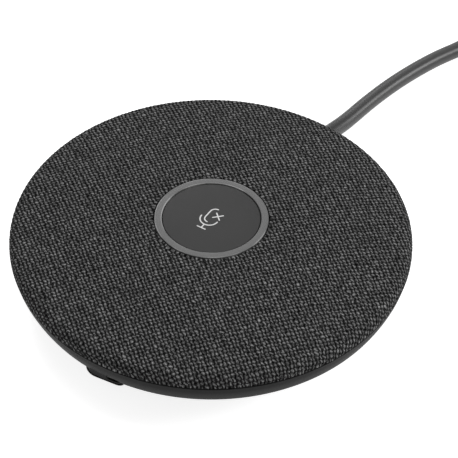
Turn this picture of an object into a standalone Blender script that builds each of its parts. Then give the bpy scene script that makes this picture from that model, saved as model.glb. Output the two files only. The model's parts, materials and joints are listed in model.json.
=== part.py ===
"""A round fabric-topped table speakerphone with one lighted mute key, a socket at the front and a captive cable.

The frame is +Z up, with the origin on the table under the middle of the body. The cable leaves towards +Y and
the socket faces -Y. Lengths are in metres, written as millimetres times MM.
"""

import bmesh
import bpy
from math import cos, pi, radians, sin
from mathutils import Matrix, Vector

MM = 0.001

# The body, from the table up.
BODY_R = 51.0 * MM            # the fabric's widest radius
RIM_TOP_R = 50.9 * MM
RIM_LOW_R = 49.1 * MM
RIM_TOP_Z = 16.0 * MM
RIM_LOW_Z = 9.9 * MM
RING_TOP_Z = 20.7 * MM        # the lighted ring, the highest face of the body
BASE_Z = 0.8 * MM             # how far the foot holds the housing off the table
CONE = ((41.3 * MM, 2.2 * MM), (48.3 * MM, 9.6 * MM))   # radius and height at both ends of the flared side
GAP = 0.3 * MM                # the clearance between two pieces that touch

# The fabric cover.
FABRIC_T = 0.9 * MM
EDGE_FILLET = 2.5 * MM
FILLET_Z = 16.7 * MM          # the middle of the edge fillet
DOME_TOP_Z = 20.6 * MM
DOME_DROP = 1.4 * MM          # from the ring out to the edge fillet
FABRIC_HOLE_R = 14.75 * MM

# The mute key, its lighted ring and what is under them.
KEY_R = 12.5 * MM
KEY_TOP_Z = 20.5 * MM
KEY_TRAVEL = 0.5 * MM
RING_IN_R = 12.8 * MM
RING_OUT_R = 14.43 * MM
PLATE_T = 1.2 * MM
KEY_BOARD_R = 17.0 * MM
KEY_BOARD_Z = (14.6 * MM, 15.6 * MM)
LED_COUNT = 6
LED_RADIUS = 13.6 * MM

# Boards, microphones and weight.
BOARD_R = 29.0 * MM
BOARD_Z = (7.0 * MM, 8.2 * MM)
ON_BOARD_Z = BOARD_Z[1] + 0.25 * MM
POST_RADIUS = 24.0 * MM       # the circle of the three board screws
POST_ANGLES = (15, 135, 255)
BOSS_RADIUS = 34.0 * MM       # the circle of the four housing screws, under the foot
BOSS_ANGLES = (60, 120, 240, 300)
MIC_RADIUS = 42.5 * MM
MIC_ANGLES = (45, 135, 225, 315)
WEIGHT_R = 29.0 * MM
WEIGHT_Z = (2.9 * MM, 5.9 * MM)

# The loudspeaker lies beside the key, towards -X.
SPEAKER_X = -31.5 * MM
SPEAKER_R = 12.0 * MM

# The socket in the front and the cable's way out at the back.
PORT_TURN = 7                 # degrees that the socket looks round from -Y towards +X
PORT_X = 0.5 * MM             # the middle of the socket's face
PORT_FACE_Y = -47.1 * MM
BEZEL_DEPTH = 4.9 * MM
PORT_Z = 7.2 * MM
BEZEL_SIZE = (10.4 * MM, 4.6 * MM)
NOTCH_SIZE = (8.8 * MM, 3.4 * MM)   # in the rim over the socket, about the rim's lower edge
LIP_SIZE = (4.7 * MM, 4.2 * MM)     # on the rim, over the notch's left half
SOCKET_SIZE = (8.94 * MM, 3.26 * MM)
SOCKET_LENGTH = 7.3 * MM
EXIT_Z = 4.8 * MM
CABLE_HOLE_R = 3.2 * MM
RELIEF_END_Y = 57.0 * MM

# The cable, its coil and its plug.
CABLE_R = 2.45 * MM
CABLE_PITCH = 4.95 * MM       # between the middles of neighbouring turns
COIL_X, COIL_Y = 48.0 * MM, 184.0 * MM
COIL_MIDDLE_R = 27.0 * MM
COIL_LAYERS = 4
COIL_LOW_Z = 1.1 * MM         # the ties pass under the coil
TIE_T = 0.8 * MM
TIE_ANGLES = (235, 335)
PLUG_ANGLE = 15               # the way the plug points, from +X
PLUG_OFFSET = 24.0 * MM       # from the coil's axis to the plug's
GRIP_SIZE = (20.0 * MM, 12.0 * MM, 6.4 * MM)
PLUG_SHELL_SIZE = (8.25 * MM, 2.4 * MM)
PLUG_SHELL_LENGTH = 6.6 * MM
PLUG_RELIEF_LENGTH = 9.0 * MM

# The cable's route from the strain relief to the coil, chosen by hand, in millimetres.
CABLE_ROUTE = [
    (0.0, 57.3, 4.8),
    (0.1, 60.5, 4.5),
    (0.6, 66.0, 3.4),
    (1.4, 73.0, 2.6),
    (2.6, 83.2, 2.5),
    (4.1, 92.4, 2.5),
    (6.0, 101.1, 2.5),
    (8.3, 109.3, 2.5),
    (11.0, 117.2, 2.5),
    (15.0, 126.8, 2.5),
    (16.9, 134.6, 2.5),
    (16.3, 142.6, 2.5),
    (13.6, 151.0, 2.5),
    (11.1, 159.7, 2.6),
    (8.9, 168.2, 2.8),
]

BIG, MIDDLE, SMALL, TINY = 60, 40, 20, 10   # sides of a round piece


def material(name, colour, roughness, metallic=0.0):
    made = bpy.data.materials.new(name)
    made.use_nodes = True
    shader = made.node_tree.nodes["Principled BSDF"]
    shader.inputs["Base Color"].default_value = (*colour, 1.0)
    shader.inputs["Roughness"].default_value = roughness
    shader.inputs["Metallic"].default_value = metallic
    made.diffuse_color = (*colour, 1.0)
    return made


def add_object(name, mesh, finish, place=(0, 0, 0)):
    bpy.context.scene.collection.objects.link(bpy.data.objects.new(name, mesh))
    made = bpy.data.objects[name]
    made.location = place
    if finish:
        mesh.materials.append(material(name + "_finish", *finish))
    return made


def mesh_from(name, build):
    """A mesh with outward normals, smooth except along its edges."""
    shape = bmesh.new()
    build(shape)
    bmesh.ops.recalc_face_normals(shape, faces=shape.faces)
    mesh = bpy.data.meshes.new(name)
    shape.to_mesh(mesh)
    shape.free()
    mesh.shade_smooth()
    mesh.set_sharp_from_angle(angle=radians(30))
    return mesh


def lathe(shape, profile, sides):
    """Turns a closed outline of (radius, height) points about Z."""
    rings = []
    for radius, height in profile:
        count = 1 if radius < 1e-7 else sides
        turn = [2 * pi * i / sides for i in range(count)]
        rings.append([shape.verts.new((radius * cos(a), radius * sin(a), height)) for a in turn])
    for low, high in zip(rings, rings[1:] + rings[:1]):
        for i in range(sides):
            corners = [low[i % len(low)], low[(i + 1) % len(low)], high[(i + 1) % len(high)], high[i % len(high)]]
            corners = list(dict.fromkeys(corners))
            if len(corners) > 2:
                shape.faces.new(corners)


def turned(name, profile, sides, finish, place=(0, 0, 0), along_y=False):
    """A turned piece; along_y lays its axis along +Y."""
    made = add_object(name, mesh_from(name, lambda shape: lathe(shape, profile, sides)), finish, place)
    if along_y:
        made.data.transform(Matrix.Rotation(-pi / 2, 4, "X"))
    return made


def prism(shape, outline, low, high):
    """A straight solid on a flat outline of (x, y) points."""
    floor = [shape.verts.new((x, y, low)) for x, y in outline]
    roof = [shape.verts.new((x, y, high)) for x, y in outline]
    shape.faces.new(floor)
    shape.faces.new(roof)
    for i in range(len(outline)):
        j = (i + 1) % len(outline)
        shape.faces.new((floor[i], floor[j], roof[j], roof[i]))


def circle(radius, sides, centre=(0, 0)):
    turn = [2 * pi * i / sides for i in range(sides)]
    return [(centre[0] + radius * cos(a), centre[1] + radius * sin(a)) for a in turn]


def rounded(width, depth, radius, steps=4):
    """The outline of a rectangle with round corners, about its middle."""
    points = []
    for quarter in range(4):
        x = (width / 2 - radius) * (1 if quarter in (0, 3) else -1)
        y = (depth / 2 - radius) * (1 if quarter in (0, 1) else -1)
        for step in range(steps + 1):
            angle = pi / 2 * (quarter + step / steps)
            points.append((x + radius * cos(angle), y + radius * sin(angle)))
    return list(dict.fromkeys((round(x, 9), round(y, 9)) for x, y in points))


def block(name, size, centre, finish, corner=0.0):
    """A box, with its upright edges rounded where corner is given."""
    width, depth, height = size
    if corner:
        outline = rounded(width, depth, corner)
    else:
        outline = [(sx * width / 2, sy * depth / 2) for sx, sy in ((1, -1), (1, 1), (-1, 1), (-1, -1))]
    mesh = mesh_from(name, lambda shape: prism(shape, outline, -height / 2, height / 2))
    return add_object(name, mesh, finish, centre)


def slab(name, outline, low, high, finish):
    return add_object(name, mesh_from(name, lambda shape: prism(shape, outline, low, high)), finish)


def polar(radius, degrees):
    return radius * cos(radians(degrees)), radius * sin(radians(degrees))


def shape_with(target, tool_mesh, name, operation="DIFFERENCE", place=(0, 0, 0)):
    """Cuts a hidden tool out of target, or joins it on."""
    tool = add_object(name, tool_mesh, None, place)
    tool.hide_render = True
    tool.display_type = "WIRE"
    step = target.modifiers.new(name, "BOOLEAN")
    step.operation = operation
    step.object = tool
    return tool


def rods(name, centres, radius, low, high, sides=TINY):
    """One mesh of several upright rods."""

    def build(shape):
        for centre in centres:
            prism(shape, circle(radius, sides, centre), low, high)

    return mesh_from(name, build)


def stand_on_end(mesh):
    """Turns a prism made along Z so that it runs along +Y, its outline's y becoming height."""
    mesh.transform(Matrix.Rotation(pi / 2, 4, "X"))
    mesh.transform(Matrix.Rotation(pi, 4, "Z"))
    return mesh


def beam(name, outline, low, high):
    """A straight solid along Y, on an outline of (across, height) points."""
    return stand_on_end(mesh_from(name, lambda shape: prism(shape, outline, low, high)))


# ---------------------------------------------------------------- finishes

DARK_PLASTIC = ((0.035, 0.036, 0.038), 0.55)
BLACK_PLASTIC = ((0.012, 0.012, 0.013), 0.5)
KEY_PLASTIC = ((0.060, 0.060, 0.062), 0.5)
RING_PLASTIC = ((0.170, 0.172, 0.175), 0.45)
FABRIC = ((0.045, 0.046, 0.049), 0.9)
RUBBER = ((0.020, 0.020, 0.021), 0.8)
SILICONE = ((0.35, 0.35, 0.35), 0.7)
CABLE_SHEATH = ((0.075, 0.076, 0.080), 0.45)
STEEL = ((0.55, 0.56, 0.57), 0.35, 1.0)
ZINC = ((0.40, 0.41, 0.42), 0.4, 1.0)
BOARD_GREEN = ((0.02, 0.10, 0.05), 0.5)
CHIP = ((0.015, 0.015, 0.016), 0.45)
WHITE_PLASTIC = ((0.75, 0.75, 0.73), 0.5)
PAPER_CONE = ((0.03, 0.03, 0.03), 0.8)
COPPER = ((0.60, 0.28, 0.14), 0.35, 1.0)


# ---------------------------------------------------------------- casing

def dome_z(radius):
    """The fabric's top height at that radius, between the ring and the edge fillet."""
    share = (radius - FABRIC_HOLE_R) / (BODY_R - EDGE_FILLET - FABRIC_HOLE_R)
    return DOME_TOP_Z - DOME_DROP * share * share


def skin(inset, lowest):
    """(radius, height) points down the cover's outside, moved in by inset, from the ring to the lowest height."""
    middle_r = BODY_R - EDGE_FILLET
    dome_steps, edge_steps = 2, 3
    points = []
    for i in range(dome_steps):
        radius = FABRIC_HOLE_R + (middle_r - FABRIC_HOLE_R) * i / dome_steps
        points.append((radius, dome_z(radius) - inset))
    for i in range(edge_steps + 1):
        angle = pi / 2 * (1 - i / edge_steps)
        reach = EDGE_FILLET - inset
        points.append((middle_r + reach * cos(angle), FILLET_Z + reach * sin(angle)))
    points.append((points[-1][0], lowest))
    return points


def fabric_cover():
    low = RIM_TOP_Z + GAP
    profile = skin(0.0, low) + skin(FABRIC_T, low)[::-1]
    turned("fabric_cover", profile, BIG, FABRIC)


def top_plate():
    """The carrier under the fabric, with holes over the loudspeaker and microphones and bosses for the screws."""
    inset = FABRIC_T + GAP
    low = RIM_TOP_Z - 1.8 * MM
    profile = skin(inset, low) + skin(inset + PLATE_T, low)[::-1]
    plate = turned("top_plate", profile, BIG, DARK_PLASTIC)
    bosses = [polar(BOSS_RADIUS, angle) for angle in BOSS_ANGLES]
    shape_with(plate, rods("plate_bosses", bosses, 3.0 * MM, 5.9 * MM, 17.6 * MM), "plate_bosses", "UNION")
    shape_with(plate, rods("plate_pilots", bosses, 1.5 * MM, 4.0 * MM, 12.6 * MM), "plate_pilots")
    grille = [(SPEAKER_X, 0.0)] + [
        (SPEAKER_X + x, y) for x, y in (polar(6.2 * MM, 60 * i) for i in range(6))
    ]
    shape_with(plate, rods("grille_holes", grille, 1.7 * MM, 14.0 * MM, 21.0 * MM), "grille_holes")
    ports = [polar(MIC_RADIUS, angle) for angle in MIC_ANGLES]
    shape_with(plate, rods("sound_ports", ports, 0.9 * MM, 14.0 * MM, 21.0 * MM, 8), "sound_ports")


def turn_to_socket(*pieces):
    """Turns what is modelled along Y about the middle of the socket's face, and puts it there."""
    angle = radians(PORT_TURN)
    for piece in pieces:
        piece.rotation_euler.z = angle
        piece.location.x = PORT_X + PORT_FACE_Y * sin(angle)
        piece.location.y = PORT_FACE_Y - PORT_FACE_Y * cos(angle)


def rim_band():
    """The moulded band round the edge, with an arched notch and a small lip over the socket."""
    inner_r, ledge_r, ledge_z = 49.9 * MM, 47.4 * MM, 13.9 * MM
    profile = [
        (inner_r, RIM_TOP_Z),
        (RIM_TOP_R - 0.2 * MM, RIM_TOP_Z),
        (RIM_TOP_R, RIM_TOP_Z - 0.2 * MM),
        (50.5 * MM, 13.6 * MM),
        (49.75 * MM, 11.3 * MM),
        (RIM_LOW_R + 0.15 * MM, RIM_LOW_Z + 0.3 * MM),
        (RIM_LOW_R - 0.2 * MM, RIM_LOW_Z),
        (ledge_r, RIM_LOW_Z),
        (ledge_r, ledge_z),
        (inner_r, ledge_z),
    ]
    rim = turned("rim_band", profile, BIG, DARK_PLASTIC)
    arch = beam("rim_notch", rounded(*NOTCH_SIZE, 1.5 * MM, 3), -52.0 * MM, -46.0 * MM)
    shape_with(rim, arch, "rim_notch", "DIFFERENCE", (2.5 * MM, 0, RIM_LOW_Z))
    tongue = beam("rim_lip", rounded(*LIP_SIZE, 0.9 * MM, 3), -49.75 * MM, -47.9 * MM)
    shape_with(rim, tongue, "rim_lip", "UNION", (0.65 * MM, 0, RIM_LOW_Z + 1.8 * MM))


def cone_r(height, inset=0.0):
    """The housing's outer radius at that height, between the rounding at its base and its top."""
    (low_r, low_z), (high_r, high_z) = CONE
    return low_r + (high_r - low_r) * (height - low_z) / (high_z - low_z) - inset


def bottom_housing():
    """The dished lower case, with its foot groove, screw bosses, board posts and the two wall openings."""
    wall = 1.8 * MM
    floor_z = BASE_Z + wall
    top_z = RIM_LOW_Z - GAP
    lip_out, lip_in, lip_z = 47.1 * MM, 45.9 * MM, 12.8 * MM
    groove_in, groove_out, groove_z = 29.0 * MM, 37.3 * MM, 1.7 * MM
    profile = [
        (0.0, BASE_Z),
        (groove_in, BASE_Z),
        (groove_in, groove_z),
        (groove_out, groove_z),
        (groove_out, BASE_Z),
        (39.3 * MM, BASE_Z),
        (40.5 * MM, 1.2 * MM),
        CONE[0],
        CONE[1],
        (lip_out, top_z),
        (lip_out, lip_z),
        (lip_in, lip_z),
        (lip_in, top_z),
        (cone_r(floor_z + 1.0 * MM, wall), floor_z + 1.0 * MM),
        (cone_r(floor_z, wall) - 0.7 * MM, floor_z),
        (0.0, floor_z),
    ]
    housing = turned("bottom_housing", profile, BIG, DARK_PLASTIC)
    bosses = [polar(BOSS_RADIUS, angle) for angle in BOSS_ANGLES]
    posts = [polar(POST_RADIUS, angle) for angle in POST_ANGLES]
    shape_with(housing, rods("case_bosses", bosses, 4.0 * MM, 2.2 * MM, 5.6 * MM), "case_bosses", "UNION")
    shape_with(housing, rods("board_posts", posts, 2.2 * MM, 2.2 * MM, 6.7 * MM), "board_posts", "UNION")
    shape_with(housing, rods("counterbores", bosses, 2.9 * MM, 0.5 * MM, 3.9 * MM), "counterbores")
    shape_with(housing, rods("screw_holes", bosses, 1.5 * MM, 3.0 * MM, 7.0 * MM), "screw_holes")
    shape_with(housing, rods("post_holes", posts, 1.1 * MM, 4.2 * MM, 8.0 * MM, 8), "post_holes")
    socket_hole = rounded(BEZEL_SIZE[0] + 2 * GAP, BEZEL_SIZE[1] + 2 * GAP, BEZEL_SIZE[1] / 2 + 0.29 * MM)
    opening = beam("port_opening", socket_hole, -52.0 * MM, -38.0 * MM)
    turn_to_socket(shape_with(housing, opening, "port_opening", "DIFFERENCE", (0, 0, PORT_Z)))
    way_out = beam("cable_opening", circle(CABLE_HOLE_R, SMALL), 34.0 * MM, 52.0 * MM)
    shape_with(housing, way_out, "cable_opening", "DIFFERENCE", (0, 0, EXIT_Z))


def foot_ring():
    inner_r, outer_r, top_z, edge = 29.3 * MM, 37.0 * MM, 1.4 * MM, 0.2 * MM
    profile = [
        (inner_r, edge),
        (inner_r, top_z),
        (outer_r, top_z),
        (outer_r, edge),
        (outer_r - edge, 0.0),
        (inner_r + edge, 0.0),
    ]
    turned("foot_ring", profile, BIG, RUBBER)


# ---------------------------------------------------------------- fasteners

def screw(name, centre, head_r, head_z, shank_r, shank_z):
    """A screw about Z with a blind recess in its head; head_z and shank_z run from its face to its far end."""
    face, back = head_z
    up = 1 if back > face else -1
    depth = 0.5 * abs(back - face) * up
    profile = [
        (0.0, face + depth),
        (0.45 * head_r, face + depth),
        (0.45 * head_r, face),
        (head_r, face),
        (head_r, back),
        (shank_r, back),
        (shank_r, shank_z),
        (0.0, shank_z + 0.4 * shank_r * up),
    ]
    turned(name, profile, TINY, STEEL, (*centre, 0))


def screws():
    for i, angle in enumerate(BOSS_ANGLES, 1):
        screw(f"housing_screw_{i}", polar(BOSS_RADIUS, angle), 2.5 * MM, (2.1 * MM, 3.6 * MM), 1.2 * MM, 11.4 * MM)
    for i, angle in enumerate(POST_ANGLES, 1):
        screw(f"board_screw_{i}", polar(POST_RADIUS, angle), 1.9 * MM, (9.6 * MM, 8.5 * MM), 0.8 * MM, 5.0 * MM)


# ---------------------------------------------------------------- key and light

def light_ring():
    flange_z = (17.1 * MM, 17.8 * MM)
    bevel = 0.12 * MM
    profile = [
        (RING_IN_R, RING_TOP_Z - bevel),
        (RING_IN_R, flange_z[0]),
        (16.3 * MM, flange_z[0]),
        (16.3 * MM, flange_z[1]),
        (RING_OUT_R, flange_z[1]),
        (RING_OUT_R, RING_TOP_Z - bevel),
        (RING_OUT_R - bevel, RING_TOP_Z),
        (RING_IN_R + bevel, RING_TOP_Z),
    ]
    turned("light_ring", profile, MIDDLE, RING_PLASTIC)


def mute_key():
    """The round key: a flat cap with a skirt and a post over the switch. Its origin is on its slide axis."""
    profile = [
        (0.0, KEY_TOP_Z),
        (KEY_R - 0.25 * MM, KEY_TOP_Z),
        (KEY_R, KEY_TOP_Z - 0.25 * MM),
        (KEY_R, 17.3 * MM),
        (KEY_R - 1.0 * MM, 17.3 * MM),
        (KEY_R - 1.0 * MM, 19.3 * MM),
        (2.0 * MM, 19.3 * MM),
        (2.0 * MM, 18.0 * MM),
        (0.0, 18.0 * MM),
    ]
    turned("mute_key", profile, MIDDLE, KEY_PLASTIC)


def key_stack():
    """What holds, lights, returns and reads the key, between the plate and the main board."""
    board_low, board_high = KEY_BOARD_Z
    frame = [
        (18.8 * MM, 17.9 * MM),
        (18.8 * MM, 12.8 * MM),
        (15.5 * MM, 12.8 * MM),
        (15.5 * MM, board_low - GAP),
        (KEY_BOARD_R + GAP, board_low - GAP),
        (KEY_BOARD_R + GAP, 17.9 * MM),
    ]
    turned("key_frame", frame, MIDDLE, BLACK_PLASTIC)
    slab("key_board", circle(KEY_BOARD_R, MIDDLE), board_low, board_high, BOARD_GREEN)
    part_z = board_high + 0.25 * MM
    pad = [(9.5 * MM, 19.05 * MM), (9.5 * MM, part_z), (8.1 * MM, part_z), (8.1 * MM, 19.05 * MM)]
    turned("key_return_pad", pad, SMALL, SILICONE)
    body = block("switch_body", (5.2 * MM, 5.2 * MM, 1.4 * MM), (0, 0, part_z + 0.7 * MM), BLACK_PLASTIC)
    shape_with(body, rods("switch_bore", [(0, 0)], 1.4 * MM, 14 * MM, 19 * MM), "switch_bore")
    slab("switch_plunger", circle(1.1 * MM, TINY), 16.6 * MM, 17.75 * MM, WHITE_PLASTIC)
    lamp_size = (0.8 * MM, 1.6 * MM, 0.8 * MM)
    for i in range(LED_COUNT):
        angle = 30 + 360 * i / LED_COUNT
        middle = (*polar(LED_RADIUS, angle), part_z + lamp_size[2] / 2)
        lamp = block(f"ring_led_{i + 1}", lamp_size, middle, WHITE_PLASTIC)
        lamp.rotation_euler.z = radians(angle)
    link_low, link_high = ON_BOARD_Z, board_low - 0.25 * MM
    link_size = (12.0 * MM, 3.6 * MM, link_high - link_low)
    block("board_link", link_size, (0, 9.0 * MM, (link_low + link_high) / 2), BLACK_PLASTIC)


# ---------------------------------------------------------------- electronics

def main_board():
    board = slab("main_board", circle(BOARD_R, MIDDLE), *BOARD_Z, BOARD_GREEN)
    holes = [polar(POST_RADIUS, angle) for angle in POST_ANGLES]
    shape_with(board, rods("board_holes", holes, 1.2 * MM, 6.0 * MM, 9.0 * MM), "board_holes")
    chips = (
        ("audio_processor", (10.0, 10.0, 1.2), (9.0, -9.0)),
        ("power_chip", (5.0, 5.0, 1.0), (12.0, 4.0)),
        ("amplifier_chip", (4.0, 4.0, 1.0), (-12.0, -4.0)),
    )
    for name, size, (x, y) in chips:
        width, depth, height = (side * MM for side in size)
        block(name, (width, depth, height), (x * MM, y * MM, ON_BOARD_Z + height / 2), CHIP)


def microphones():
    """Four capsules, each in a rubber cup under its sound port in the plate."""
    cup_top, seat, capsule_top, low = 16.9 * MM, 16.2 * MM, 15.9 * MM, 13.6 * MM
    cup = [
        (3.4 * MM, cup_top),
        (3.4 * MM, low),
        (2.8 * MM, low),
        (2.8 * MM, seat),
        (0.9 * MM, seat),
        (0.9 * MM, cup_top),
    ]
    capsule = [(0.0, capsule_top), (2.5 * MM, capsule_top), (2.5 * MM, low), (0.0, low)]
    for i, angle in enumerate(MIC_ANGLES, 1):
        place = (*polar(MIC_RADIUS, angle), 0)
        turned(f"microphone_cup_{i}", cup, TINY, RUBBER, place)
        turned(f"microphone_{i}", capsule, TINY, ZINC, place)


def loudspeaker():
    """A slim driver that faces up through the plate: foam ring, frame, magnet cup, and the cone on its coil."""
    place = (SPEAKER_X, 0, 0)
    foam = [(SPEAKER_R, 16.6 * MM), (SPEAKER_R, 15.9 * MM), (10.2 * MM, 15.9 * MM), (10.2 * MM, 16.6 * MM)]
    turned("speaker_gasket", foam, SMALL, RUBBER, place)
    frame = [
        (SPEAKER_R, 15.6 * MM),
        (SPEAKER_R, 14.4 * MM),
        (9.4 * MM, 13.4 * MM),
        (8.4 * MM, 11.0 * MM),
        (7.2 * MM, 11.0 * MM),
        (7.2 * MM, 12.0 * MM),
        (8.4 * MM, 13.9 * MM),
        (9.9 * MM, 14.4 * MM),
        (9.9 * MM, 15.6 * MM),
    ]
    turned("speaker_frame", frame, SMALL, BLACK_PLASTIC, place)
    magnet = [
        (0.0, 13.6 * MM),
        (3.6 * MM, 13.6 * MM),
        (3.6 * MM, 11.3 * MM),
        (5.0 * MM, 11.3 * MM),
        (5.0 * MM, 13.6 * MM),
        (6.8 * MM, 13.6 * MM),
        (6.8 * MM, 10.5 * MM),
        (0.0, 10.5 * MM),
    ]
    turned("speaker_magnet", magnet, SMALL, ZINC, place)
    cone = [
        (0.0, 15.5 * MM),
        (4.6 * MM, 15.0 * MM),
        (9.5 * MM, 15.3 * MM),
        (9.5 * MM, 15.0 * MM),
        (4.6 * MM, 14.6 * MM),
        (0.0, 15.1 * MM),
    ]
    turned("speaker_cone", cone, SMALL, PAPER_CONE, place)
    coil = [(4.55 * MM, 14.3 * MM), (4.55 * MM, 12.0 * MM), (4.05 * MM, 12.0 * MM), (4.05 * MM, 14.3 * MM)]
    turned("voice_coil", coil, SMALL, COPPER, place)


def floor_weight():
    weight = slab("floor_weight", circle(WEIGHT_R, MIDDLE), *WEIGHT_Z, ZINC)
    posts = [polar(POST_RADIUS, angle) for angle in POST_ANGLES]
    shape_with(weight, rods("weight_holes", posts, 2.6 * MM, 2.0 * MM, 7.0 * MM), "weight_holes")


# ---------------------------------------------------------------- socket

def stadium(width, height):
    return rounded(width, height, height / 2 - 0.01 * MM, 6)


def tube_along_y(name, outer, inner, low_y, high_y, finish, height):
    """A flat tube that runs along Y, open at both ends, and the tool that bores it."""
    tube = add_object(name, beam(name, outer, low_y, high_y), finish, (0, 0, height))
    bore = beam(name + "_bore", inner, low_y - MM, high_y + MM)
    return tube, shape_with(tube, bore, name + "_bore", "DIFFERENCE", (0, 0, height))


def socket():
    """A small reversible data socket: bezel, metal shell, the contact tongue and its own board."""
    gap = 0.2 * MM
    width, height = SOCKET_SIZE
    bezel_hole = stadium(width + 2 * gap, height + 2 * gap)
    bezel = tube_along_y(
        "port_bezel", stadium(*BEZEL_SIZE), bezel_hole, PORT_FACE_Y, PORT_FACE_Y + BEZEL_DEPTH, BLACK_PLASTIC, PORT_Z
    )
    wall = 0.32 * MM
    shell_front = PORT_FACE_Y + 0.1 * MM
    shell_back = shell_front + SOCKET_LENGTH
    opening = stadium(width - 2 * wall, height - 2 * wall)
    shell = tube_along_y("port_shell", stadium(width, height), opening, shell_front, shell_back, STEEL, PORT_Z)
    tongue = rounded(6.7 * MM, 0.7 * MM, 0.3 * MM, 2)
    root = 1.6 * MM
    tongue_mesh = beam("port_contacts", tongue, shell_front + 0.8 * MM, shell_back - 0.5 * root)
    insert = add_object("port_contacts", tongue_mesh, BLACK_PLASTIC, (0, 0, PORT_Z))
    back = stadium(width - 2 * wall - 0.3 * MM, height - 2 * wall - 0.3 * MM)
    root_mesh = beam("contact_root", back, shell_back - root, shell_back - 0.1 * MM)
    contact_root = shape_with(insert, root_mesh, "contact_root", "UNION", (0, 0, PORT_Z))
    board_high = PORT_Z - height / 2 - 0.25 * MM
    block(
        "port_board", (15.0 * MM, 9.0 * MM, 1.0 * MM), (0, -35.2 * MM, board_high - 0.5 * MM), BOARD_GREEN
    )
    turn_to_socket(*bezel, *shell, insert, contact_root)


# ---------------------------------------------------------------- cable

def smooth_line(points, step):
    """Points about step apart along a smooth curve through the given points."""
    points = [Vector(p) for p in points]
    ends = [2 * points[0] - points[1], *points, 2 * points[-1] - points[-2]]
    fine = []
    for p0, p1, p2, p3 in zip(ends, ends[1:], ends[2:], ends[3:]):
        for i in range(16):
            t = i / 16
            fine.append(
                0.5 * (2 * p1 + (p2 - p0) * t + (2 * p0 - 5 * p1 + 4 * p2 - p3) * t**2
                       + (3 * p1 - p0 - 3 * p2 + p3) * t**3)
            )
    fine.append(points[-1])
    along = [0.0]
    for a, b in zip(fine, fine[1:]):
        along.append(along[-1] + (b - a).length)
    count = max(2, round(along[-1] / step))
    line, k = [], 0
    for i in range(count + 1):
        at = along[-1] * i / count
        while k < len(along) - 2 and along[k + 1] < at:
            k += 1
        share = (at - along[k]) / (along[k + 1] - along[k])
        line.append(fine[k].lerp(fine[k + 1], share))
    return line


def tube(name, points, radius, finish, resolution=3):
    curve = bpy.data.curves.new(name, "CURVE")
    curve.dimensions = "3D"
    curve.bevel_depth = radius
    curve.bevel_resolution = resolution
    curve.use_fill_caps = True
    spline = curve.splines.new("POLY")
    spline.points.add(len(points) - 1)
    for point, place in zip(spline.points, points):
        point.co = (*place, 1.0)
    curve.materials.append(material(name + "_finish", *finish))
    made = bpy.data.objects.new(name, curve)
    bpy.context.scene.collection.objects.link(made)
    return made


def cable_exit():
    """The ribbed strain relief through the wall, with its square flange inside, and the tail to the main board."""
    flange_y = (37.6 * MM, 39.0 * MM)
    rib, groove = 1.1 * MM, 0.9 * MM
    profile = [(0.0, flange_y[1]), (2.9 * MM, flange_y[1]), (2.9 * MM, 49.2 * MM)]
    along, radius = 49.2 * MM, 3.1 * MM
    while along + rib < RELIEF_END_Y - 0.5 * MM:
        profile += [(radius, along), (radius, along + rib)]
        along += rib
        radius -= 0.07 * MM
        profile += [(radius - 0.35 * MM, along), (radius - 0.35 * MM, along + groove)]
        along += groove
    profile += [(radius, along), (radius - 0.1 * MM, RELIEF_END_Y), (0.0, RELIEF_END_Y)]
    relief = turned("cable_relief", profile, SMALL, RUBBER, (0, 0, EXIT_Z), along_y=True)
    middle_z = 5.6 * MM
    flange = block(
        "relief_flange", (9.0 * MM, flange_y[1] - flange_y[0] + 0.4 * MM, 5.2 * MM), (0, 0, 0), None, 0.0
    )
    flange.location = (0, (flange_y[0] + flange_y[1]) / 2 + 0.2 * MM, middle_z)
    flange.hide_render = True
    flange.display_type = "WIRE"
    joined = relief.modifiers.new("relief_flange", "BOOLEAN")
    joined.operation = "UNION"
    joined.object = flange
    tail = [
        (0.0, 37.2 * MM, 5.4 * MM),
        (0.0, 34.8 * MM, 6.4 * MM),
        (0.0, 32.4 * MM, 9.0 * MM),
        (0.0, 29.8 * MM, 10.6 * MM),
        (0.0, 26.4 * MM, 10.9 * MM),
    ]
    tube("cable_tail", smooth_line(tail, 2.0 * MM), 1.3 * MM, CABLE_SHEATH, 2)
    height = 3.8 * MM
    block("cable_header", (9.0 * MM, 5.0 * MM, height), (0, 23.5 * MM, ON_BOARD_Z + height / 2), WHITE_PLASTIC)


def cable_coil():
    """The outer shape of the wound cable, held by two ties."""
    half = 2.5 * CABLE_PITCH
    low = COIL_LOW_Z
    high = low + COIL_LAYERS * CABLE_PITCH
    corner = rounded(2 * half, high - low, 2.4 * MM, 1)
    profile = [(COIL_MIDDLE_R + x, (low + high) / 2 + y) for x, y in corner]
    turned("cable_coil", profile, MIDDLE, CABLE_SHEATH, (COIL_X, COIL_Y, 0))
    inner_size = (2 * half + 1.2 * MM, high - low + 0.5 * MM)
    inner = rounded(*inner_size, 2.0 * MM, 2)
    outer = rounded(*(side + 2 * TIE_T for side in inner_size), 2.8 * MM, 2)
    width = 5.0 * MM
    for i, angle in enumerate(TIE_ANGLES, 1):
        name = f"cable_tie_{i}"
        place = (COIL_X + COIL_MIDDLE_R * cos(radians(angle)), COIL_Y + COIL_MIDDLE_R * sin(radians(angle)),
                 (low + high) / 2)
        band = add_object(name, beam(name, outer, -width / 2, width / 2), RUBBER, place)
        hollow = beam(name + "_hollow", inner, -width, width)
        cutter = shape_with(band, hollow, name + "_hollow", "DIFFERENCE", place)
        band.rotation_euler.z = radians(angle)
        cutter.rotation_euler.z = radians(angle)
    return high


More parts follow.
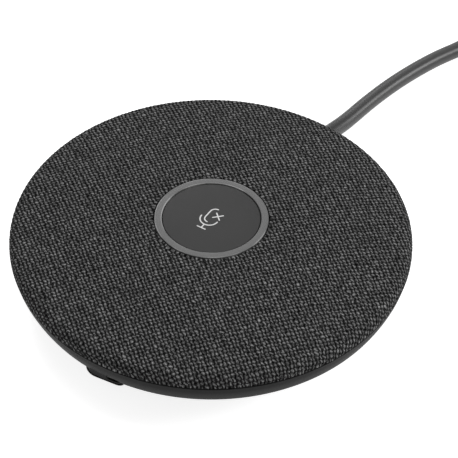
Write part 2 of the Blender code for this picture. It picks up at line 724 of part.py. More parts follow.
def plug(coil_top):
    """The plug on the cable's end, lying on the coil, and the last stretch of cable to it."""
    length, width, height = GRIP_SIZE
    axis_z = coil_top + GAP + height / 2
    away = Vector((cos(radians(PLUG_ANGLE)), sin(radians(PLUG_ANGLE)), 0))
    side = Vector((-away.y, away.x, 0))
    nearest = Vector((COIL_X, COIL_Y, axis_z)) + PLUG_OFFSET * side
    seat = bpy.data.objects.new("plug_seat", None)
    bpy.context.scene.collection.objects.link(seat)
    seat.location = nearest
    # The plug's pieces are made along +Y, and this turns them to the way that the plug points.
    seat.rotation_euler.z = radians(PLUG_ANGLE - 90)

    relief_start = -16.0 * MM
    grip_start = relief_start + PLUG_RELIEF_LENGTH
    relief = [
        (0.0, relief_start),
        (2.75 * MM, relief_start),
        (2.75 * MM, relief_start + 1.0 * MM),
        (3.1 * MM, grip_start - GAP),
        (0.0, grip_start - GAP),
    ]
    pieces = [turned("plug_relief", relief, SMALL, RUBBER, along_y=True)]

    grip = beam("plug_grip", rounded(width, height, 2.6 * MM, 4), grip_start, grip_start + length)
    pieces.append(add_object("plug_grip", grip, BLACK_PLASTIC))

    shell_start = grip_start + length + GAP
    shell_end = shell_start + PLUG_SHELL_LENGTH
    wall = 0.3 * MM
    shell_width, shell_height = PLUG_SHELL_SIZE
    pieces += tube_along_y(
        "plug_shell",
        stadium(shell_width, shell_height),
        stadium(shell_width - 2 * wall, shell_height - 2 * wall),
        shell_start,
        shell_end,
        STEEL,
        0.0,
    )
    core = stadium(shell_width - 2 * wall - 0.3 * MM, shell_height - 2 * wall - 0.3 * MM)
    core_mesh = beam("plug_contacts", core, shell_start, shell_end - 0.4 * MM)
    contacts = add_object("plug_contacts", core_mesh, BLACK_PLASTIC)
    slot = beam("contact_slot", rounded(6.9 * MM, 0.85 * MM, 0.3 * MM, 2), shell_start + MM, shell_end + MM)
    pieces += [contacts, shape_with(contacts, slot, "contact_slot")]
    for piece in pieces:
        piece.parent = seat

    start = nearest + (relief_start - GAP) * away
    end_route = [
        start,
        start - 4.0 * MM * away,
        start - 9.5 * MM * away - 1.5 * MM * side,
        start - 15.0 * MM * away - 5.0 * MM * side,
        start - 19.5 * MM * away - 10.5 * MM * side,
    ]
    tube("cable_end", smooth_line(end_route, 3.5 * MM), CABLE_R, CABLE_SHEATH)


def free_cable():
    route = [tuple(value * MM for value in point) for point in CABLE_ROUTE]
    tube("cable", smooth_line(route, 5.0 * MM), CABLE_R, CABLE_SHEATH)


def clear_scene():
    for old in list(bpy.data.objects):
        bpy.data.objects.remove(old, do_unlink=True)


def main():
    clear_scene()
    fabric_cover()
    top_plate()
    rim_band()
    bottom_housing()
    foot_ring()
    screws()
    light_ring()
    mute_key()
    key_stack()
    main_board()
    microphones()
    loudspeaker()
    floor_weight()
    socket()
    cable_exit()
    free_cable()
    plug(cable_coil())


main()
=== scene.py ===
"""The looks of a round fabric-topped table speakerphone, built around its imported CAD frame.

Lengths are in metres, written as millimetres times MM. The frame is +Z up, with the cable towards +Y and the
socket towards -Y.
"""

import json
from math import cos, hypot, pi, radians, sin, sqrt

import bmesh
import bpy
import numpy as np
from mathutils import Matrix, Vector


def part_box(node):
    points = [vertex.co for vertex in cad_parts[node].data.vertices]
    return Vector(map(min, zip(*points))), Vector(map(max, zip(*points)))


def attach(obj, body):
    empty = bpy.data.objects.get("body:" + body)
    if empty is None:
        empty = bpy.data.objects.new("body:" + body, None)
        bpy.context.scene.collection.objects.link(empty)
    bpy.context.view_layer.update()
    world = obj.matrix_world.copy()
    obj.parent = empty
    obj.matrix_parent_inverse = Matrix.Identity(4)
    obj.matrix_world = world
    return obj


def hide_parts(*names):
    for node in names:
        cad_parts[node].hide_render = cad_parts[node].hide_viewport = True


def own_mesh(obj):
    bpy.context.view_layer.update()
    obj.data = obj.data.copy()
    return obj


MM = 0.001

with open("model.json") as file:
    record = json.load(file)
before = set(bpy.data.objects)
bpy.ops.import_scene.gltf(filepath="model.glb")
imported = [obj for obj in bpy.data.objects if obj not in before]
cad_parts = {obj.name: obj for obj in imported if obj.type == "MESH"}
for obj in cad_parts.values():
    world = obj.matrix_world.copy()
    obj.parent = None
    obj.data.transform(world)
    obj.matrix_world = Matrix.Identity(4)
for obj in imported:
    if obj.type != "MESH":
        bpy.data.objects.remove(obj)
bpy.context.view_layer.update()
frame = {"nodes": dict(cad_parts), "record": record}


def new_object(name, data):
    """A new object in the scene."""
    made = bpy.data.objects.new(name, data)
    bpy.context.scene.collection.objects.link(made)
    return made


# ---------------- camera

CAMERA_DISTANCE = 300.0 * MM
CAMERA_AZIMUTH = radians(32.5)      # round from -Y towards +X
CAMERA_ELEVATION = radians(44.55)
CAMERA_AIM_Z = 16.2 * MM
CAMERA_LENS = 92.51                 # on a 36 mm sensor
CAMERA_YAW, CAMERA_PITCH, CAMERA_ROLL = radians(-0.854), radians(0.03), radians(-0.376)


def add_camera():
    """Faces the middle of the fabric's edge, then turns a little off it."""
    level = cos(CAMERA_ELEVATION)
    back = Vector((sin(CAMERA_AZIMUTH) * level, -cos(CAMERA_AZIMUTH) * level, sin(CAMERA_ELEVATION)))
    right = Vector((cos(CAMERA_AZIMUTH), sin(CAMERA_AZIMUTH), 0))
    facing = Matrix((right, back.cross(right), back)).transposed().to_4x4()
    turned = Matrix.Rotation(CAMERA_YAW, 4, "Y") @ Matrix.Rotation(CAMERA_PITCH, 4, "X")
    turned = turned @ Matrix.Rotation(-CAMERA_ROLL, 4, "Z")
    data = bpy.data.cameras.new("camera")
    data.sensor_width = 36.0
    data.lens = CAMERA_LENS
    data.clip_start = 0.01
    made = new_object("camera", data)
    place = CAMERA_DISTANCE * back + Vector((0, 0, CAMERA_AIM_Z))
    made.matrix_world = Matrix.Translation(place) @ facing @ turned
    bpy.context.scene.camera = made


add_camera()

# ---------------- cable

CABLE_R = 2.45 * MM
CABLE_PITCH = 4.95 * MM             # between the middles of neighbouring turns
COIL = Vector((48.0, 184.0, 0)) * MM
COIL_LAYERS, COIL_TURNS = 4, 4
COIL_LOW_R, COIL_HIGH_R = 17.1 * MM, 36.9 * MM
COIL_FIRST_Z = 3.6 * MM
COIL_ENTRY = radians(165)           # the place on the coil where the cable joins it
COIL_LEAVING = radians(227)         # and where it starts its climb to the plug
INNER_RAMP, OUTER_RAMP = radians(45), radians(27)
PLUG_ANGLE = radians(15)
PLUG_OFFSET = 24.0 * MM
PLUG_Z = 24.4 * MM
PLUG_RELIEF_START = -16.0 * MM      # along the plug's axis, from its nearest point to the coil's axis
GAP = 0.3 * MM

AWAY = Vector((cos(PLUG_ANGLE), sin(PLUG_ANGLE), 0))
SIDE = Vector((-AWAY.y, AWAY.x, 0))
PLUG_SEAT = COIL + Vector((0, 0, PLUG_Z)) + PLUG_OFFSET * SIDE

# The stretch from the strain relief to the coil, in millimetres.
FREE_ROUTE = [
    (0.0, 57.3, 4.8),
    (0.1, 60.5, 4.5),
    (0.6, 66.0, 3.4),
    (1.4, 73.0, 2.6),
    (2.6, 83.2, 2.5),
    (4.1, 92.4, 2.5),
    (6.0, 101.1, 2.5),
    (8.3, 109.3, 2.5),
    (11.0, 117.2, 2.5),
    (15.0, 126.8, 2.5),
    (16.9, 134.6, 2.5),
    (16.3, 142.6, 2.5),
    (13.6, 151.0, 2.5),
    (11.1, 159.7, 2.6),
    (8.9, 168.2, 2.8),
    (9.1, 177.8, 3.2),
    (10.4, 186.0, 3.5),
]
# From the last turn up onto the coil: degrees round it, radius in millimetres, share of the climb.
CLIMB = [(215, 35.2, 0.2), (202, 36.6, 0.55), (189, 37.9, 0.85)]
# On the coil to the plug, in millimetres behind and beside the plug's relief.
LAST_STRETCH = [(19.5, 10.5), (15.0, 5.0), (9.5, 1.5), (4.0, 0.0), (0.0, 0.0)]


def polar(radius, angle):
    return radius * cos(angle), radius * sin(angle)


def coil_place(angle, radius, height):
    return COIL + Vector((*polar(radius, angle), height))


def round_coil(angle, turn, radius, radius_change, height, rise):
    """Places clockwise round the coil, 24 to a turn, up to but not at the end."""
    count = max(2, round(turn / radians(15)))
    places = []
    for i in range(count):
        share = i / count
        eased = share * share * (3 - 2 * share)
        places.append(coil_place(angle - turn * share, radius + radius_change * share, height + rise * eased))
    return places


def wound_places():
    """In, out, in and out again, one layer on the other, with a short ramp between layers."""
    angle, height = COIL_ENTRY, COIL_FIRST_Z
    places = []
    for layer in range(COIL_LAYERS):
        inward = layer % 2 == 0
        radius = COIL_HIGH_R if inward else COIL_LOW_R
        turn = 2 * pi * COIL_TURNS
        if layer == COIL_LAYERS - 1:
            turn = 2 * pi * (COIL_TURNS - 1) + (angle - COIL_LEAVING) % (2 * pi)
        change = CABLE_PITCH * turn / (2 * pi) * (-1 if inward else 1)
        places += round_coil(angle, turn, radius, change, height, 0.0)
        angle -= turn
        if layer < COIL_LAYERS - 1:
            ramp = INNER_RAMP if inward else OUTER_RAMP
            places += round_coil(angle, ramp, radius + change, 0.0, height, CABLE_PITCH)
            angle -= ramp
            height += CABLE_PITCH
    places.append(coil_place(angle, radius + change, height))
    return places


def cable_places():
    """The cable's whole route, from the strain relief, round the coil and up to the plug's relief."""
    wound = wound_places()
    top = wound[-1].z
    rise = PLUG_Z - top
    climb = [coil_place(radians(at), radius * MM, top + rise * share) for at, radius, share in CLIMB]
    end = PLUG_SEAT + (PLUG_RELIEF_START - GAP) * AWAY
    last = [end - behind * MM * AWAY - beside * MM * SIDE for behind, beside in LAST_STRETCH]
    return [MM * Vector(p) for p in FREE_ROUTE] + wound + climb + last


def through(places, steps):
    """A smooth line through the given places, with that many steps between neighbours."""
    ends = [2 * places[0] - places[1], *places, 2 * places[-1] - places[-2]]
    line = []
    for p0, p1, p2, p3 in zip(ends, ends[1:], ends[2:], ends[3:]):
        for i in range(steps):
            t = i / steps
            line.append(
                0.5 * (2 * p1 + (p2 - p0) * t + (2 * p0 - 5 * p1 + 4 * p2 - p3) * t**2
                       + (3 * p1 - p0 - 3 * p2 + p3) * t**3)
            )
    line.append(places[-1])
    return line


def add_cable():
    curve = bpy.data.curves.new("cord", "CURVE")
    curve.dimensions = "3D"
    curve.bevel_depth = CABLE_R
    curve.bevel_resolution = 6
    curve.use_fill_caps = True
    line = through(cable_places(), 3)
    spline = curve.splines.new("POLY")
    spline.points.add(len(line) - 1)
    for point, place in zip(spline.points, line):
        point.co = (*place, 1.0)
    spline.use_smooth = True
    return new_object("cord", curve)


cord = add_cable()

# ---------------- node trees

class Finish:
    """A new material with short calls for the nodes of its tree. Uniform values sit on the shader itself."""

    def __init__(self, name, roughness=0.5, metallic=0.0):
        self.made = bpy.data.materials.new(name)
        self.made.use_nodes = True
        self.tree = self.made.node_tree
        self.shader = self.tree.nodes["Principled BSDF"]
        self.set("Roughness", roughness)
        self.set("Metallic", metallic)

    def set(self, socket, value):
        """Puts a number, a colour or another node's output on one of the shader's sockets."""
        self.put(value, self.shader.inputs[socket])

    def put(self, value, socket):
        if isinstance(value, bpy.types.NodeSocket):
            self.tree.links.new(value, socket)
        elif isinstance(value, tuple) and len(value) == 3 and socket.type == "RGBA":
            socket.default_value = (*value, 1.0)
        else:
            socket.default_value = value

    def node(self, kind, inputs, **settings):
        made = self.tree.nodes.new(kind)
        for key, value in settings.items():
            setattr(made, key, value)
        for key, value in inputs.items():
            self.put(value, made.inputs[key])
        return made

    def math(self, operation, a, b=0.0):
        return self.node("ShaderNodeMath", {0: a, 1: b}, operation=operation).outputs[0]

    def plus(self, a, b):
        return self.math("ADD", a, b)

    def minus(self, a, b):
        return self.math("SUBTRACT", a, b)

    def times(self, a, b):
        return self.math("MULTIPLY", a, b)

    def span(self, value, low, high, to_low=0.0, to_high=1.0):
        """value's place between low and high, as a place between to_low and to_high."""
        inputs = {"Value": value, "From Min": low, "From Max": high, "To Min": to_low, "To Max": to_high}
        return self.node("ShaderNodeMapRange", inputs).outputs[0]

    def spread(self, noise, to_low=0.0, to_high=1.0):
        """A noise's usual values, 0.3 to 0.7, spread from to_low to to_high."""
        return self.span(noise, 0.3, 0.7, to_low, to_high)

    def vectors(self, operation, a, b):
        return self.node("ShaderNodeVectorMath", {0: a, 1: b}, operation=operation).outputs[0]

    def vector(self, x, y, z):
        return self.node("ShaderNodeCombineXYZ", {"X": x, "Y": y, "Z": z}).outputs[0]

    def place(self, scale=(1.0, 1.0, 1.0)):
        """The point on the object, in metres, stretched by scale."""
        return self.vectors("MULTIPLY", self.node("ShaderNodeTexCoord", {}).outputs["Object"], scale)

    def noise(self, where, size, detail=3.0, roughness=0.55):
        """Cloudy values, with patches of about that size."""
        inputs = {"Vector": where, "Scale": 1 / size, "Detail": detail, "Roughness": roughness}
        return self.node("ShaderNodeTexNoise", inputs).outputs["Fac"]

    def cells(self, where, size):
        """The distance to the middle of the nearest of many cells, each about that size."""
        inputs = {"Vector": where, "Scale": 1 / size}
        return self.node("ShaderNodeTexVoronoi", inputs).outputs["Distance"]

    def mix(self, share, a, b):
        """Blends two colours."""
        return self.node("ShaderNodeMix", {0: share, 6: a, 7: b}, data_type="RGBA").outputs[2]

    def shades(self, share, colour, darker, lighter):
        """Blends two shades of a colour."""
        return self.mix(share, tinted(colour, darker), tinted(colour, lighter))

    def paint(self, share, a, b):
        """The base colour, blended from two."""
        self.set("Base Color", self.mix(share, a, b))

    def bump(self, height, strength, distance):
        inputs = {"Height": height, "Strength": strength, "Distance": distance}
        self.set("Normal", self.node("ShaderNodeBump", inputs).outputs[0])


def tinted(colour, factor):
    return tuple(min(1.0, c * factor) for c in colour)


def moulded(name, *looks, **more):
    return moulded_finish(name, *looks, **more).made


def moulded_finish(name, colour, roughness, grain=0.25 * MM, depth=0.02 * MM, worn=1.5, strength=0.5,
                   specular=0.5):
    """Moulded plastic: a fine spark-eroded grain, faint clouding, and edges rubbed a little lighter."""
    finish = Finish(name, roughness)
    finish.set("Specular IOR Level", specular)
    here = finish.place()
    cloud = finish.noise(here, 14 * MM, 2.0)
    fine = finish.noise(here, grain, 2.0)
    base = finish.shades(finish.span(cloud, 0.35, 0.65), colour, 0.93, 1.07)
    base = finish.mix(finish.span(fine, 0.35, 0.7, 0.0, 0.35), base, tinted(colour, 1.25))
    edge = finish.node("ShaderNodeNewGeometry", {}).outputs["Pointiness"]
    rubbed = finish.times(finish.span(edge, 0.52, 0.60), finish.spread(cloud, 0.3, 1.0))
    finish.paint(rubbed, base, tinted(colour, worn))
    finish.set("Roughness", finish.spread(fine, roughness + 0.05, roughness - 0.06))
    finish.bump(fine, strength, depth)
    return finish


def rubber(name, colour, roughness=0.75, grain=0.18 * MM):
    """Rubber: a dull skin with fine pits and a little dust in patches."""
    finish = Finish(name, roughness)
    here = finish.place()
    patches = finish.noise(here, 6 * MM, 4.0)
    pits = finish.noise(here, grain, 3.0, 0.7)
    dusty = finish.span(patches, 0.5, 0.8, 0.0, 0.5)
    base = finish.shades(finish.spread(pits), colour, 0.85, 1.2)
    finish.paint(dusty, base, tinted(colour, 1.7))
    finish.set("Roughness", finish.spread(patches, roughness - 0.08, roughness + 0.1))
    finish.bump(pits, 0.5, 0.02 * MM)
    return finish.made


def metal(name, colour, roughness, along=(1.0, 12.0, 12.0)):
    """Drawn or plated metal, with fine streaks: along is how closely they crowd across each axis."""
    finish = Finish(name, roughness, 1.0)
    streaks = finish.noise(finish.place(along), 1.5 * MM, 4.0)
    stains = finish.noise(finish.place(), 5 * MM, 3.0)
    base = finish.shades(finish.spread(streaks), colour, 0.88, 1.1)
    finish.paint(finish.span(stains, 0.45, 0.8, 0.0, 0.3), base, tinted(colour, 0.7))
    finish.set("Roughness", finish.spread(streaks, roughness - 0.07, roughness + 0.1))
    finish.bump(streaks, 0.2, 0.01 * MM)
    return finish.made


def sheath(name, colour):
    """The cable's satin jacket: smooth, with faint waves and a fine matt bloom."""
    finish = Finish(name, 0.5)
    here = finish.place()
    bloom = finish.noise(here, 0.35 * MM, 3.0)
    waves = finish.noise(here, 7 * MM, 2.0)
    base = finish.shades(finish.spread(bloom), colour, 0.92, 1.08)
    finish.paint(finish.span(waves, 0.4, 0.8, 0.0, 0.4), base, tinted(colour, 1.15))
    finish.set("Roughness", finish.spread(bloom, 0.38, 0.46))
    finish.bump(waves, 0.25, 0.08 * MM)
    return finish.made


# ---------------- weave

# Threads of each set per metre, along +X and +Y, where the cloth is flat in the middle, and how these change
# per metre: along X with x, along either with the other, and along Y with y. The cloth lies a little askew.
WARP_COUNT, WARP_SKEW = (647, 775), (2090, -390, -1640)
WEFT_COUNT, WEFT_SKEW = (699, -617), (-1710, -1400, -1540)
WARP_HALF, WEFT_HALF = 0.33, 0.43   # half a thread's width, in thread spacings
WARP_RISE, WEFT_RISE = 0.18, 0.42   # how far a thread rises and falls, as a share of its greatest height
# GAP_SHADE is painted shade deep in the gaps between the threads.
YARN_DARK, YARN_LIGHT, GAP_SHADE = 0.010, 0.30, 0.0015
WARP_SEED, WEFT_SEED = 3.0, 11.0
PLY_SHADE = 0.38                    # how deep the painted shade between the yarn's two plies goes; the plies wind once from crossing to crossing
DRIFT_SCALE, DRIFT = 0.75, 1.25     # how soon the threads wander, and how far, in thread spacings
THREADS_APART = 7.31                # keeps the tones of neighbouring threads unlike
SLOW_ALONG = 1.1                    # changes of tone to a crossing along a thread
FIBRES_ACROSS, FIBRES_ALONG = 7.0, 3.2
SLOW_TONE, FIBRE_TONE, KNOT_TONE = 0.65, 1.5, 0.15
TONE_LOW, TONE_HIGH = 0.90, 1.45


def weave(name):
    """A plain weave of two-tone yarn, with painted shade in the gaps and painted highlight on the crowns. The
    attribute "threads" counts the threads across the cloth.
    """
    finish = Finish(name, 0.9)
    threads = finish.node("ShaderNodeAttribute", {}, attribute_name="threads").outputs["Vector"]
    wander = {"Vector": threads, "Scale": DRIFT_SCALE, "Detail": 2.0}
    drift = finish.node("ShaderNodeTexNoise", wander).outputs["Color"]
    drift = finish.vectors("SUBTRACT", drift, (0.5, 0.5, 0.5))
    drift = finish.node("ShaderNodeVectorMath", {0: drift, "Scale": DRIFT}, operation="SCALE").outputs[0]
    threads = finish.vectors("ADD", threads, drift)
    split = finish.node("ShaderNodeSeparateXYZ", {"Vector": threads})
    across, along = split.outputs["X"], split.outputs["Y"]
    warp = one_yarn(finish, across, along, WARP_HALF, WARP_RISE, WARP_SEED)
    weft = one_yarn(finish, along, across, WEFT_HALF, -WEFT_RISE, WEFT_SEED)
    over = finish.math("GREATER_THAN", warp["height"], weft["height"])
    height = finish.math("MAXIMUM", warp["height"], weft["height"])
    tone = pick(finish, over, weft["tone"], warp["tone"])
    yarn = finish.mix(tone, (YARN_DARK,) * 3, (YARN_LIGHT,) * 3)
    # Painted shade between the plies and painted highlight on them, as diagonal stripes.
    twist = finish.math("COSINE", finish.times(finish.minus(across, along), 2 * pi))
    ply_shade = finish.plus(finish.times(twist, PLY_SHADE), 1 - PLY_SHADE)
    # Painted shade and light: the lower a point lies between the threads, the darker it is painted; the
    # crowns are painted lightest.
    painted_light = finish.times(ply_shade, finish.math("POWER", finish.span(height, 0.22, 0.97), 1.5))
    finish.paint(painted_light, (GAP_SHADE,) * 3, yarn)
    finish.set("Specular IOR Level", 0.03)
    fibre = pick(finish, over, weft["fibre"], warp["fibre"])
    finish.bump(finish.plus(height, finish.times(fibre, 0.4)), 0.6, 0.12 * MM)
    return finish.made


def pick(finish, share, a, b):
    """Blends two numbers."""
    return finish.node("ShaderNodeMix", {0: share, 2: a, 3: b}).outputs[0]


def one_yarn(finish, across, along, half, rise, seed):
    """The threads counted by across: how high each stands, from 0 in a gap to 1, its tone, and its fibres."""
    index = finish.math("ROUND", across)
    off = finish.math("DIVIDE", finish.minus(across, index), half)
    crown = finish.minus(1.0, finish.times(off, off))
    crown = finish.math("SQRT", finish.math("MAXIMUM", crown, 0.0))
    beat = finish.math("COSINE", finish.times(finish.plus(along, index), pi))
    height = finish.times(crown, finish.plus(finish.times(beat, rise), 1 - abs(rise)))
    home = finish.vector(finish.times(index, THREADS_APART), finish.times(along, SLOW_ALONG), seed)
    slow = finish.noise(home, 1.0, 3.0, 0.6)
    knot = finish.vector(index, finish.math("ROUND", along), seed)
    knot = finish.node("ShaderNodeTexWhiteNoise", {"Vector": knot}).outputs["Value"]
    spun = finish.vector(finish.times(across, FIBRES_ACROSS), finish.times(along, FIBRES_ALONG), seed)
    fibre = finish.noise(spun, 1.0, 2.0, 0.7)
    tone = finish.plus(finish.times(slow, SLOW_TONE), finish.times(fibre, FIBRE_TONE))
    tone = finish.plus(tone, finish.times(knot, KNOT_TONE))
    return {"height": height, "tone": finish.span(tone, TONE_LOW, TONE_HIGH), "fibre": fibre}


# ---------------- shaping

def add_mesh(name, mesh, finish, replaced=(), body="housing"):
    """Puts a finished mesh in the scene, on its body."""
    made = new_object(name, mesh)
    mesh.materials.clear()
    mesh.materials.append(finish)
    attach(made, body)
    if replaced:
        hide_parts(*replaced)
    return made


def mesh_of(name, build, smooth=30):
    """A mesh with outward normals, smooth except along its edges."""
    shape = bmesh.new()
    build(shape)
    bmesh.ops.recalc_face_normals(shape, faces=shape.faces)
    mesh = bpy.data.meshes.new(name)
    shape.to_mesh(mesh)
    shape.free()
    mesh.shade_smooth()
    mesh.set_sharp_from_angle(angle=radians(smooth))
    return mesh


def add_built(name, build, finish, replaced=(), body="housing", smooth=30):
    """Puts a newly built mesh in the scene, on its body."""
    return add_mesh(name, mesh_of(name, build, smooth), finish, replaced, body)


def rings(shape, loops, closed=True):
    """Joins equal loops of places with faces. If closed, the last meets the first, else both are capped."""
    made = [[shape.verts.new(place) for place in loop] for loop in loops]
    pairs = list(zip(made, made[1:] + made[:1])) if closed else list(zip(made, made[1:]))
    for low, high in pairs:
        for i in range(len(low)):
            j = (i + 1) % len(low)
            shape.faces.new((low[i], low[j], high[j], high[i]))
    if not closed:
        shape.faces.new(made[0])
        shape.faces.new(made[-1])


def turned(profile, sides):
    """Builds the turned shape of a closed outline of (radius, height) points, about Z."""
    def build(shape):
        loops = []
        for radius, height in profile:
            count = 1 if radius < 1e-7 else sides
            turn = [2 * pi * i / sides for i in range(count)]
            loops.append([shape.verts.new((*polar(radius, a), height)) for a in turn])
        for low, high in zip(loops, loops[1:] + loops[:1]):
            for i in range(sides):
                corners = [low[i % len(low)], low[(i + 1) % len(low)],
                           high[(i + 1) % len(high)], high[i % len(high)]]
                corners = list(dict.fromkeys(corners))
                if len(corners) > 2:
                    shape.faces.new(corners)

    return build


def eased(corners, steps=4):
    """A closed outline with its corners rounded: each corner is (x, y, radius)."""
    outline = []
    count = len(corners)
    for i, (x, y, radius) in enumerate(corners):
        here = Vector((x, y))
        back = Vector(corners[i - 1][:2]) - here
        ahead = Vector(corners[(i + 1) % count][:2]) - here
        if radius <= 0:
            outline.append((x, y))
            continue
        half = back.angle(ahead) / 2
        reach = min(radius * cos(half) / sin(half),
                    0.49 * back.length, 0.49 * ahead.length)
        start, end = here + back.normalized() * reach, here + ahead.normalized() * reach
        for k in range(steps + 1):
            t = k / steps
            outline.append(tuple(start * (1 - t) ** 2 + here * (2 * t * (1 - t)) + end * t * t))
    return outline


def eased_box(left, right, low, high, low_radius, high_radius, steps):
    """An oblong outline, with its lower and upper corners rounded."""
    return eased([(right, low, low_radius), (right, high, high_radius), (left, high, high_radius),
                  (left, low, low_radius)], steps)


def oblong(width, height, radius, steps):
    """An oblong outline about the middle, with its corners rounded."""
    return eased_box(-width / 2, width / 2, -height / 2, height / 2, radius, radius, steps)


def oval(size, wider, steps=12):
    """A flat oval with round ends, as (x, z) points: size is (width, height), and wider is added to both."""
    width, height = size[0] + wider, size[1] + wider
    radius = height / 2
    points = []
    for side in (1, -1):
        for k in range(steps + 1):
            angle = pi * (k / steps - 0.5) + (0 if side == 1 else pi)
            points.append((side * (width / 2 - radius) + radius * cos(angle), radius * sin(angle)))
    return points


def swept(outline, section):
    """Builds a closed band: section's (outward, along) points, carried round an (x, z) outline facing -Y."""
    def build(shape):
        count = len(outline)
        normals = []
        for i in range(count):
            before, after = Vector(outline[i - 1]), Vector(outline[(i + 1) % count])
            run = (after - before).normalized()
            normals.append(Vector((run.y, -run.x)))
        loops = []
        for out, along in section:
            loops.append([
                (x + n.x * out, along, z + n.y * out) for (x, z), n in zip(outline, normals)
            ])
        rings(shape, loops)

    return build


def cut(target, tool_mesh, operation="DIFFERENCE"):
    """Cuts a tool out of target's mesh, or joins it on, for good. The whole keeps target's first material."""
    tool = new_object("tool", tool_mesh)
    step = target.modifiers.new("cut", "BOOLEAN")
    step.operation = operation
    step.object = tool
    bpy.context.view_layer.update()
    result = bpy.data.meshes.new_from_object(target.evaluated_get(bpy.context.evaluated_depsgraph_get()))
    target.modifiers.clear()
    old, name, finish = target.data, target.data.name, target.data.materials[0]
    target.data = result
    bpy.data.meshes.remove(old)
    result.name = name
    result.materials.clear()
    result.materials.append(finish)
    bpy.data.objects.remove(tool)
    result.shade_smooth()
    result.set_sharp_from_angle(angle=radians(30))


def mouthed(wall, mouth, back, inner, outer):
    """The (outward, along) section of a tube's wall, eased at its mouth, inside and outside."""
    way = 1 if back > mouth else -1
    return [(0.0, back), (0.0, mouth + way * inner[1]), (inner[0], mouth), (wall - outer[0], mouth),
            (wall, mouth + way * outer[1]), (wall, back)]


def prism(outline, low, high):
    """Builds a straight solid along Y on a flat (x, z) outline."""
    def build(shape):
        rings(shape, [[(x, low, z) for x, z in outline], [(x, high, z) for x, z in outline]], closed=False)

    return build


# ---------------- casing

FABRIC_LOW, FABRIC_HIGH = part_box("fabric_cover")
BODY_R = FABRIC_HIGH.x
FABRIC_EDGE_Z = FABRIC_LOW.z
EDGE_FILLET = 2.5 * MM
FILLET_R, FILLET_Z = BODY_R - EDGE_FILLET, 16.7 * MM
DOME_TOP_Z, DOME_DROP = 20.6 * MM, 1.4 * MM
HOLE_R = 14.75 * MM
FABRIC_T = 0.9 * MM
CLOTH_STEP = 0.28 * MM              # about the size of the cloth's fine mesh, which follows its threads
ACROSS_WARP, ACROSS_WEFT = 4, 3     # points of that mesh to a thread
FILLET_TURN = 0.083                 # the dome's slope where it meets the edge fillet
RELIEF = 0.22 * MM                  # how far a thread stands over the gaps
SIDES = 288


def dome_z(radius):
    share = (radius - HOLE_R) / (FILLET_R - HOLE_R)
    return DOME_TOP_Z - DOME_DROP * share * share


def cloth_place(reach):
    """(radius, height, lean) of the cloth's outside at that reach over the surface from the middle."""
    flat = FILLET_R + EDGE_FILLET * FILLET_TURN
    if reach <= flat:
        lean = 2 * DOME_DROP * (reach - HOLE_R) / (FILLET_R - HOLE_R) ** 2
        return reach, dome_z(reach), max(0.0, lean)
    angle = min(pi / 2, FILLET_TURN + (reach - flat) / EDGE_FILLET)
    down = max(0.0, reach - flat - EDGE_FILLET * (pi / 2 - FILLET_TURN))
    return FILLET_R + EDGE_FILLET * sin(angle), FILLET_Z + EDGE_FILLET * cos(angle) - down, angle


CLOTH_REACH = FILLET_R + EDGE_FILLET * pi / 2 + FILLET_Z - FABRIC_EDGE_Z


def thread_counts(place):
    """The warp and weft threads between the cloth's middle and places on it, and how they change there."""
    x, y = place[..., 0], place[..., 1]
    counts, slopes = [], []
    for (gx, gy), (xx, xy, yy) in ((WARP_COUNT, WARP_SKEW), (WEFT_COUNT, WEFT_SKEW)):
        counts.append(gx * x + gy * y + xx * x * x / 2 + xy * x * y + yy * y * y / 2)
        slopes.append(np.stack([gx + xx * x + xy * y, gy + xy * x + yy * y], -1))
    return np.stack(counts, -1), np.stack(slopes, -2)


def cloth_places(threads):
    """The places on the flat cloth at those thread counts."""
    place = np.zeros_like(threads)
    for _ in range(6):
        counts, slopes = thread_counts(place)
        place += np.linalg.solve(slopes, (threads - counts)[..., None])[..., 0]
    return place


def thread_height(across, along):
    """How high the upper of the two threads stands at points of the cloth, from 0 in the gaps to 1."""
    def one(a, b, half, rise):
        index = np.round(a)
        crown = np.sqrt(np.maximum(0.0, 1 - ((a - index) / half) ** 2))
        return crown * (1 - abs(rise) + rise * np.cos(pi * (b + index)))

    return np.maximum(one(across, along, WARP_HALF, WARP_RISE), one(along, across, WEFT_HALF, -WEFT_RISE))


